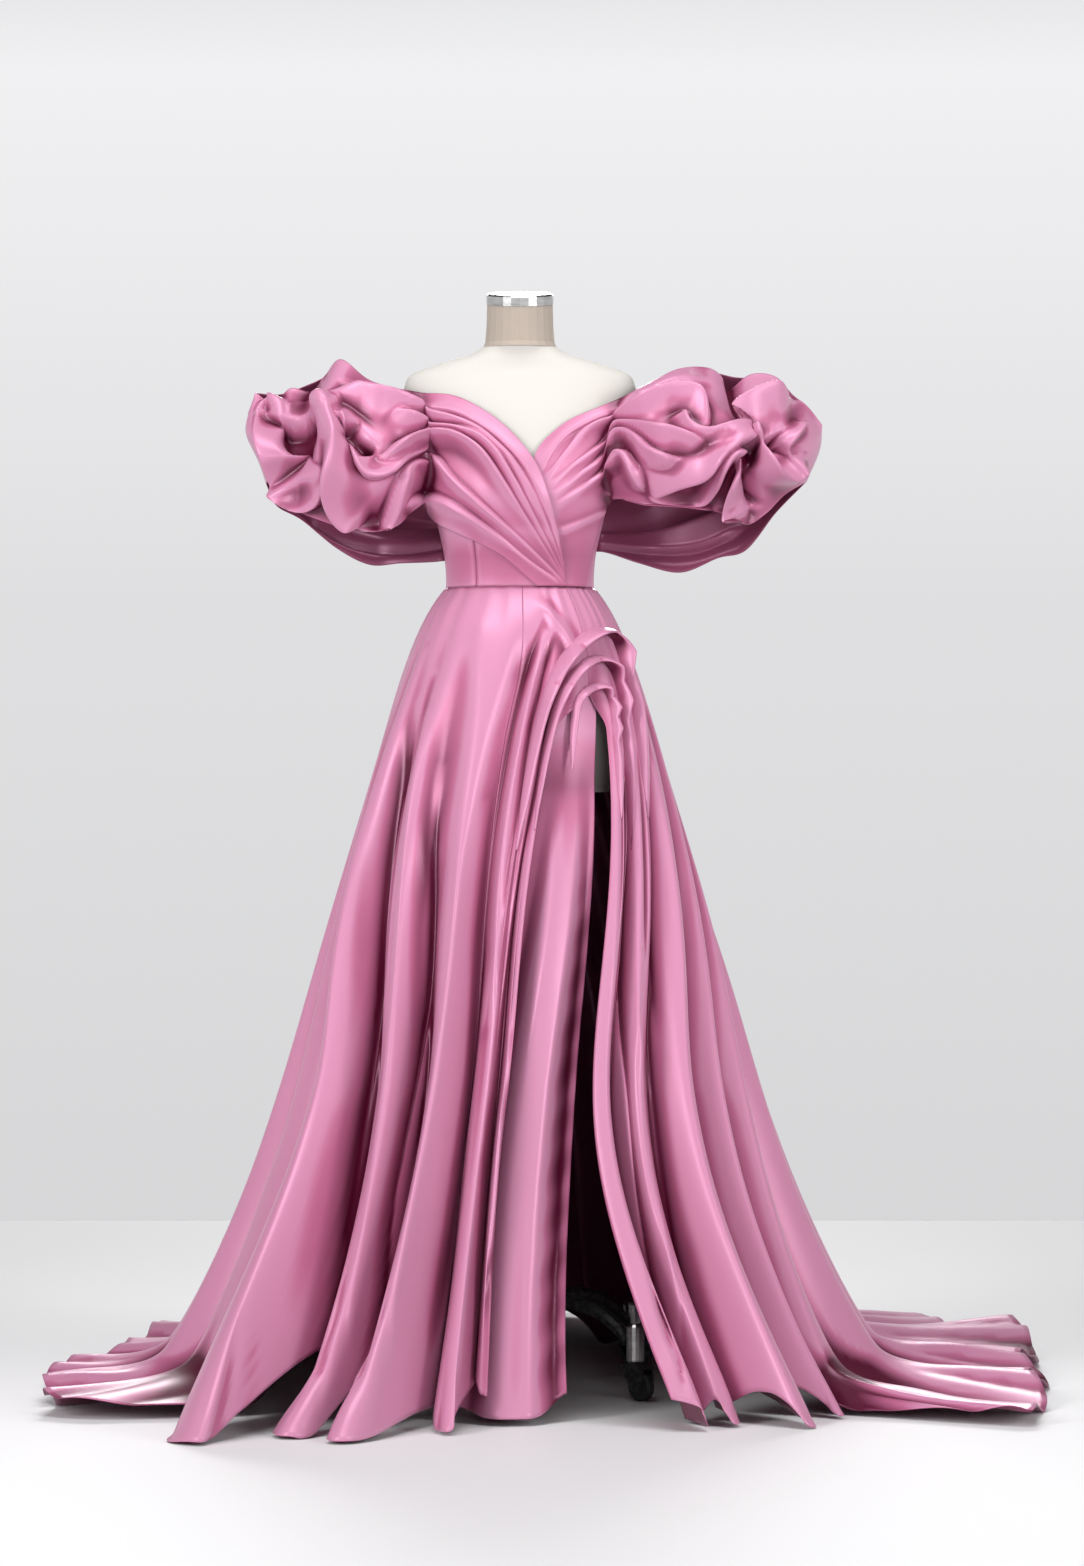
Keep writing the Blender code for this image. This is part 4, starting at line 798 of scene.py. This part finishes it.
def bodice(look):
    """Fitted panels under the wraps, from the waist seam to above the bust."""
    heights = np.linspace(WAIST_Z + SEAM / 2, BODICE_TOP_Z, 40)
    panels = {
        "bodice_centre_front": (-36, 36),
        "bodice_side_front_left": (36, 84),
        "bodice_back_left": (84, 180),
        "bodice_back_right": (180, 276),
        "bodice_side_front_right": (276, 324),
    }
    half_seam = math.degrees(EDGE_GAP / BODICE_RADIUS)
    made = []
    for name, (low, high) in panels.items():
        angles = np.linspace(low + half_seam, high - half_seam, int((high - low) * 0.8))
        outer = torso_point(angles[:, None], heights[None, :], BODICE_LAYER)
        edge = np.minimum(angles - angles[0], angles[-1] - angles)[:, None] / 1.6
        outer = outer - grid_normals(outer) * (0.0009 * np.exp(-edge ** 2))[..., None]
        piece = cloth_piece(name, outer, 1.0, look, (name,), BODICE_CLOTH)
        made.append((piece, grid_area(outer)))
    return made


def joined_tree(panels):
    """A tree of the panels' faces, for casting rays in the gown frame."""
    vertices, faces = [], []
    for panel in panels:
        faces += [[len(vertices) + v for v in face.vertices] for face in panel.data.polygons]
        vertices += [vertex.co - Vector(ORIGIN) for vertex in panel.data.vertices]
    return BVHTree.FromPolygons(vertices, faces)


def skirt_front(x, z, panels):
    """A point on the skirt's front at X, Z near the hip and the way out from it."""
    spread = float(skirt_spread(WAIST_Z - z))
    width, depth = WAIST_HALF_WIDTH + spread, WAIST_FRONT + spread * DEPTH_RATIO
    y = -depth * math.sqrt(max(0.05, 1 - (x / width) ** 2))
    out = unit(np.array([x / width ** 2, y / depth ** 2, 0.0]))
    hit = panels.ray_cast(Vector((x, -1.0, z)), Vector((0, 1, 0)))[0]
    if hit is not None and hit.y < y + 0.030:
        y = hit.y
    return np.array([x, y, z]), out


def hip_roll(name, row, panels, look):
    """One roll of gathered cloth arched over the top of the slit, open towards the skirt."""
    half, height, lift = (value / 1000 for value in row[:3])
    path = through(row[3], ROLL_STATIONS) / 1000
    along = np.linspace(0, 1, len(path))
    arch = np.sin(math.pi * along) ** 0.8
    taper = smoothstep(0, 0.14, along) * smoothstep(0, 0.14, 1 - along)
    crumple = CRUMPLES * arch * np.interp(along, CRUMPLE_PLACES, CRUMPLE_RISES)
    feet = []
    for k, centre in enumerate(path):
        step = path[min(k + 1, len(path) - 1)] - path[max(k - 1, 0)]
        slope = max(0.45, -skirt_front(*centre, panels)[1][1])
        wide = half * (0.65 + 0.35 * arch[k]) * slope * (0.3 + 0.7 * taper[k])
        away = np.array([-step[1], step[0]]) / np.linalg.norm(step) * wide
        pair = [skirt_front(*(centre + away * sign), panels) for sign in (-1, 1)]
        feet.append([pair[0][0], pair[1][0], unit(pair[0][1] + pair[1][1])])
    feet = np.array(feet)
    for _ in range(14):
        feet[1:-1] = (feet[:-2] + 2 * feet[1:-1] + feet[2:]) / 4
    outer = []
    for k, (near, far, out) in enumerate(feet):
        seat = out * lift * (0.25 + 0.35 * taper[k])
        middle, reach = (near + far) / 2 + seat, (far - near) / 2
        tall = height * (0.02 + 0.98 * arch[k]) * (1 + crumple[k])
        angles = np.radians(np.linspace(195, -15, 23))[:, None]
        across = -np.cos(angles) + (ROLL_LEAN + crumple[k]) * arch[k] * np.sin(angles) ** 2
        outer.append(middle + reach * across + out * tall * np.sin(angles))
    outer = np.array(outer)
    made = cloth_piece(name, outer, -1.0, look, (name,), ROLL_CLOTH)
    return made, grid_area(outer)


def underlay(look):
    """The panel that hangs inside the slit from the gathered rolls to just off the floor."""
    share = np.linspace(0, 1, 60)[:, None]
    hem = 0.012 + 0.034 * smoothstep(0.6, 1.02, share) ** 2 + 0.014 * (1 - smoothstep(0.0, 0.3, share))
    reach = (WAIST_Z - hem) / SLANT - UNDERLAY_TOP
    s = UNDERLAY_TOP + reach * np.linspace(0, 1, 140)[None, :]
    left, right = (stationed(edge, s) for edge in UNDERLAY_EDGES)
    angle = np.radians(left + (right - left) * share)
    drop = s * SLANT
    ripple = 0.004 * np.cos(2 * math.pi * (share - 0.40)) * smoothstep(0.2, 0.7, s)
    wrinkles = np.sin(58 * s + 9 * share) * np.sin(23 * s + 1)
    wrinkles = wrinkles * smoothstep(0.6, 0.8, share) * smoothstep(0.4, 0.6, s)
    forward = 0.028 * smoothstep(0.12, 0.42, share) * (1 - smoothstep(0.62, 0.92, share))
    forward = forward * smoothstep(0.3, 0.7, s) + 0.0006 * wrinkles
    inset = 0.0034 + 0.0160 * smoothstep(0.18, 0.35, s)
    spread = skirt_spread(drop) - inset + ripple + forward
    x = (WAIST_HALF_WIDTH + spread) * np.sin(angle)
    y = -(WAIST_FRONT + spread * DEPTH_RATIO) * np.cos(angle)
    outer = np.stack(np.broadcast_arrays(x, y, WAIST_Z - drop), -1)
    made = cloth_piece("slit_underlay", outer, -1.0, look, ("slit_underlay",))
    return made, grid_area(outer)


def dress_form(linen):
    """The form's torso, smooth and covered in linen."""
    heights = np.concatenate([np.linspace(TORSO_FOOT_Z, 1.62, 90), np.linspace(1.625, NECK_Z, 40)])
    angles = np.arange(0, 360, 3.0)
    skin = torso_point(angles[:, None], heights[None, :], -LINEN_INSET)
    low = skin[:, :1] * (1, 1, 0) * 0.02 + np.array([0, 0, TORSO_FOOT_Z])
    high = skin[:, -1:] * (1, 1, 0) * 0.02 + np.array([0, 0, NECK_Z])
    skin = np.concatenate([low, skin, high], axis=1)
    index = np.arange(skin[..., 0].size).reshape(skin.shape[:2])
    quads = grid_quads(np.concatenate([index, index[:1]]))
    torso = mesh_piece("form_torso_cover", skin.reshape(-1, 3) + ORIGIN, quads, linen,
                       ("form_torso",))
    torso.data.set_sharp_from_angle(angle=math.radians(50))
    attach(torso, BODY)


# Materials


def new_material(name):
    made = bpy.data.materials.new(name)
    made.use_nodes = True
    return made, made.node_tree.nodes, made.node_tree.links, made.node_tree.nodes["Principled BSDF"]


def set_inputs(node, values):
    for name, value in values.items():
        node.inputs[name].default_value = value
    return node


def add_node(nodes, kind, values):
    """A new shader node with its inputs set by name."""
    return set_inputs(nodes.new("ShaderNode" + kind), values)


def colour_ramp(nodes, first, second, start=0.0, end=1.0):
    """A ramp from one colour to another."""
    made = nodes.new("ShaderNodeValToRGB")
    for stop, colour, place in zip(made.color_ramp.elements, (first, second), (start, end)):
        stop.position = place
        stop.color = colour
    return made


def mottled(nodes, links, shader, vector, noise_values, dark, colour):
    """Slow variation between two colours: the noise's height and the colour."""
    noise = add_node(nodes, "TexNoise", noise_values)
    ramp = colour_ramp(nodes, dark, colour, 0.3, 0.7)
    links.new(vector, noise.inputs["Vector"])
    links.new(noise.outputs["Fac"], ramp.inputs["Fac"])
    links.new(ramp.outputs["Color"], shader.inputs["Base Color"])
    return noise.outputs["Fac"], ramp.outputs["Color"]


def add_bump(nodes, links, shader, height, strength, distance):
    """Fine relief on a material, from a height between 0 and 1."""
    bump = add_node(nodes, "Bump", {"Strength": strength, "Distance": distance})
    links.new(height, bump.inputs["Height"])
    links.new(bump.outputs["Normal"], shader.inputs["Normal"])


def satin(name, base, dark, painted_shade_colour, painted_highlight_colour, roughness, sheen):
    """Heavy duchess satin: faint warp lines, slow colour variation, a soft broad gloss, and painted shade,
    a deeper colour, in the hollows of the folds, with a painted highlight, a paler colour, on their ridges."""
    made, nodes, links, shader = new_material(name)
    place = nodes.new("ShaderNodeTexCoord").outputs["Object"]
    tint = mottled(nodes, links, shader, place, {"Scale": 7.0, "Detail": 3.0}, dark, base)[1]
    # Painted shade and highlight: the colour goes deeper in the folds' hollows and paler on their ridges,
    # following the mesh attribute
    painted_shade_and_highlight = nodes.new("ShaderNodeAttribute")
    painted_shade_and_highlight.attribute_name = "painted_shade_and_highlight"
    for colour, high in ((painted_shade_colour, 0.95), (painted_highlight_colour, -0.3)):
        share = add_node(nodes, "MapRange", {"From Min": 0.0, "From Max": high})
        mix = nodes.new("ShaderNodeMix")
        mix.data_type = "RGBA"
        first, second = (socket for socket in mix.inputs if socket.type == "RGBA")
        second.default_value = colour
        links.new(painted_shade_and_highlight.outputs["Fac"], share.inputs["Value"])
        links.new(share.outputs["Result"], mix.inputs["Factor"])
        links.new(tint, first)
        tint = next(socket for socket in mix.outputs if socket.type == "RGBA")
    links.new(tint, shader.inputs["Base Color"])
    stretch = add_node(nodes, "Mapping", {"Scale": (900.0, 900.0, 220.0)})
    weave = add_node(nodes, "TexNoise", {"Scale": 1.0, "Detail": 2.0})
    links.new(place, stretch.inputs["Vector"])
    links.new(stretch.outputs["Vector"], weave.inputs["Vector"])
    add_bump(nodes, links, shader, weave.outputs["Fac"], 0.10, 0.0004)
    set_inputs(shader, {
        "Roughness": roughness,
        "Specular IOR Level": 0.85,
        "Specular Tint": (1.0, 0.55, 0.76, 1.0),
        "Sheen Weight": sheen,
        "Sheen Roughness": 0.35,
        "Sheen Tint": (1.0, 0.75, 0.92, 1.0),
    })
    return made


def woven(name, colour, dark, scale):
    """Plain linen: two crossed sets of threads with slubs."""
    made, nodes, links, shader = new_material(name)
    place = nodes.new("ShaderNodeTexCoord")
    cross = nodes.new("ShaderNodeMath")
    cross.operation = "MULTIPLY"
    for k, direction in enumerate("XZ"):
        threads = add_node(nodes, "TexWave", {"Scale": scale, "Distortion": 1.5, "Detail": 1.0})
        threads.bands_direction = direction
        links.new(place.outputs["Object"], threads.inputs["Vector"])
        links.new(threads.outputs["Fac"], cross.inputs[k])
    ramp = colour_ramp(nodes, dark, colour)
    links.new(cross.outputs[0], ramp.inputs["Fac"])
    links.new(ramp.outputs["Color"], shader.inputs["Base Color"])
    add_bump(nodes, links, shader, cross.outputs[0], 0.35, 0.0004)
    set_inputs(shader, {"Roughness": 0.9, "Sheen Weight": 0.15})
    return made


def metal(name, colour, dark, roughness, scale, metallic=1.0, grain=(1.0, 1.0, 1.0)):
    """Metal with a worn, uneven surface; grain stretches it along one direction."""
    made, nodes, links, shader = new_material(name)
    stretch = add_node(nodes, "Mapping", {"Scale": grain})
    links.new(nodes.new("ShaderNodeTexCoord").outputs["Object"], stretch.inputs["Vector"])
    values = {"Scale": scale, "Detail": 5.0}
    height, _ = mottled(nodes, links, shader, stretch.outputs["Vector"], values, dark, colour)
    add_bump(nodes, links, shader, height, 0.2, 0.0003)
    set_inputs(shader, {"Roughness": roughness, "Metallic": metallic})
    return made


def plain(name, colour, roughness):
    made, _, _, shader = new_material(name)
    set_inputs(shader, {"Base Color": colour, "Roughness": roughness})
    return made


def clothe_nodes(looks):
    """Gives the CAD nodes that still show their finishes."""
    for name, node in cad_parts.items():
        for prefix, look in looks:
            if name.startswith(prefix):
                node.data.materials.clear()
                node.data.materials.append(look)
                node.data.shade_smooth()
                node.data.set_sharp_from_angle(angle=math.radians(40))
                break


def backdrop():
    """A pale backdrop all round, beyond the floor: brighter just above the horizon."""
    world = bpy.data.worlds.new("studio")
    bpy.context.scene.world = world
    world.use_nodes = True
    nodes, links = world.node_tree.nodes, world.node_tree.links
    direction = nodes.new("ShaderNodeTexCoord")
    parts = nodes.new("ShaderNodeSeparateXYZ")
    rise = add_node(nodes, "MapRange", {"From Min": BACKDROP_RANGE[0], "From Max": BACKDROP_RANGE[1]})
    shades = nodes.new("ShaderNodeValToRGB")
    stops = shades.color_ramp.elements
    for place, grey in BACKDROP_GREYS:
        stop = stops[0] if place == 0 else stops.new(place)
        stop.color = (grey, grey, grey * BACKDROP_BLUE, 1.0)
    stops.remove(stops[-1])
    links.new(direction.outputs["Generated"], parts.inputs["Vector"])
    links.new(parts.outputs["Z"], rise.inputs["Value"])
    links.new(rise.outputs["Result"], shades.inputs["Fac"])
    links.new(shades.outputs["Color"], nodes["Background"].inputs["Color"])


def studio():
    """The pale floor, the backdrop and five soft lamps, which no view shows."""
    floor_look = plain("floor_white", (0.80, 0.80, 0.81, 1.0), 0.6)
    near, far = FLOOR_ENDS
    corners = [(x * FLOOR_HALF, y, 0) for x, y in ((-1, near), (1, near), (1, far), (-1, far))]
    quads = [(0, 1, 2, 3)]
    mesh_piece("studio_floor", np.array(corners), quads, floor_look, smooth=False)
    backdrop()
    lamps = (
        ("key", (-3.6, -4.6, 2.8), (0.0, 0.0, 0.9), 1.6, 3.0, 190),
        ("top", (0.2, -1.6, 4.6), (0.0, 0.0, 0.8), 3.0, 1.6, 100),
        ("fill", (4.2, -4.2, 2.4), (0.0, 0.0, 0.8), 1.2, 3.0, 130),
        ("front", (0.9, -9.6, 1.9), (0.1, 0.0, 0.9), 1.2, 1.2, 90),
        ("back", (0.0, 6.8, 4.2), (0.0, 0.6, 0.9), 3.4, 1.6, 240),
    )
    for name, place, target, width, height, power in lamps:
        lamp = bpy.data.lights.new(name, "AREA")
        lamp.shape = "RECTANGLE"
        lamp.size = width
        lamp.size_y = height
        lamp.energy = power
        made = add_object(name, lamp)
        made.location = place
        made.rotation_euler = (Vector(target) - Vector(place)).to_track_quat("-Z", "Y").to_euler()
        made.visible_camera = False


def camera():
    """The camera at the photograph's distance and height, level."""
    bpy.context.scene.view_settings.view_transform = "Standard"
    lens = bpy.data.cameras.new("camera")
    lens.lens = CAMERA_LENS
    lens.sensor_width = 36.0
    lens.clip_end = 60.0
    made = add_object("camera", lens)
    made.location = Vector(CAMERA_PLACE) + Vector(ORIGIN)
    made.rotation_euler = (math.pi / 2, 0, 0)
    bpy.context.scene.camera = made


def main():
    camera()
    studio()
    # The satin's third and fourth colours are the painted shade in the folds' hollows and the painted
    # highlight on their ridges
    pink = satin("satin_pink", (0.470, 0.142, 0.258, 1.0), (0.430, 0.120, 0.229, 1.0),
                 (0.075, 0.002, 0.018, 1.0), (0.57, 0.25, 0.39, 1.0), 0.33, 0.01)
    linen = woven("form_linen", (0.64, 0.62, 0.59, 1.0), (0.54, 0.515, 0.48, 1.0), 330)
    neck_linen = woven("neck_linen_cloth", (0.47, 0.41, 0.355, 1.0), (0.36, 0.30, 0.25, 1.0), 260)
    steel = metal("steel_brushed", (0.62, 0.62, 0.62, 1.0), (0.42, 0.42, 0.42, 1.0), 0.28, 30, 1.0,
                  (1, 1, 12))
    iron = metal("iron_cast", (0.10, 0.10, 0.10, 1.0), (0.03, 0.03, 0.03, 1.0), 0.5, 120, 0.7)
    rubber = plain("wheel_rubber", (0.02, 0.02, 0.02, 1.0), 0.55)
    panels = {}
    for name in PANELS:
        panels[name], area = skirt_panel(name, pink)
    under, area = underlay(pink)
    for piece, area in bodice(pink):
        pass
    for name, layers in (("right", OVER_WRAP_LAYERS), ("left", UNDER_WRAP_LAYERS)):
        piece, area = sleeve(name, layers, pink)
    tree = joined_tree([panels["skirt_front_left"], panels["skirt_centre_front"]])
    for number, row in enumerate(ROLLS, 1):
        piece, area = hip_roll(f"hip_roll_{number}", row, tree, pink)
    dress_form(linen)
    clothe_nodes((("form_neck", neck_linen), ("form_cap", steel), ("pole", steel), ("hub", iron),
                  ("leg_", iron), ("socket_", steel), ("fork_", iron), ("wheel_", rubber)))


main()
bpy.context.view_layer.update()
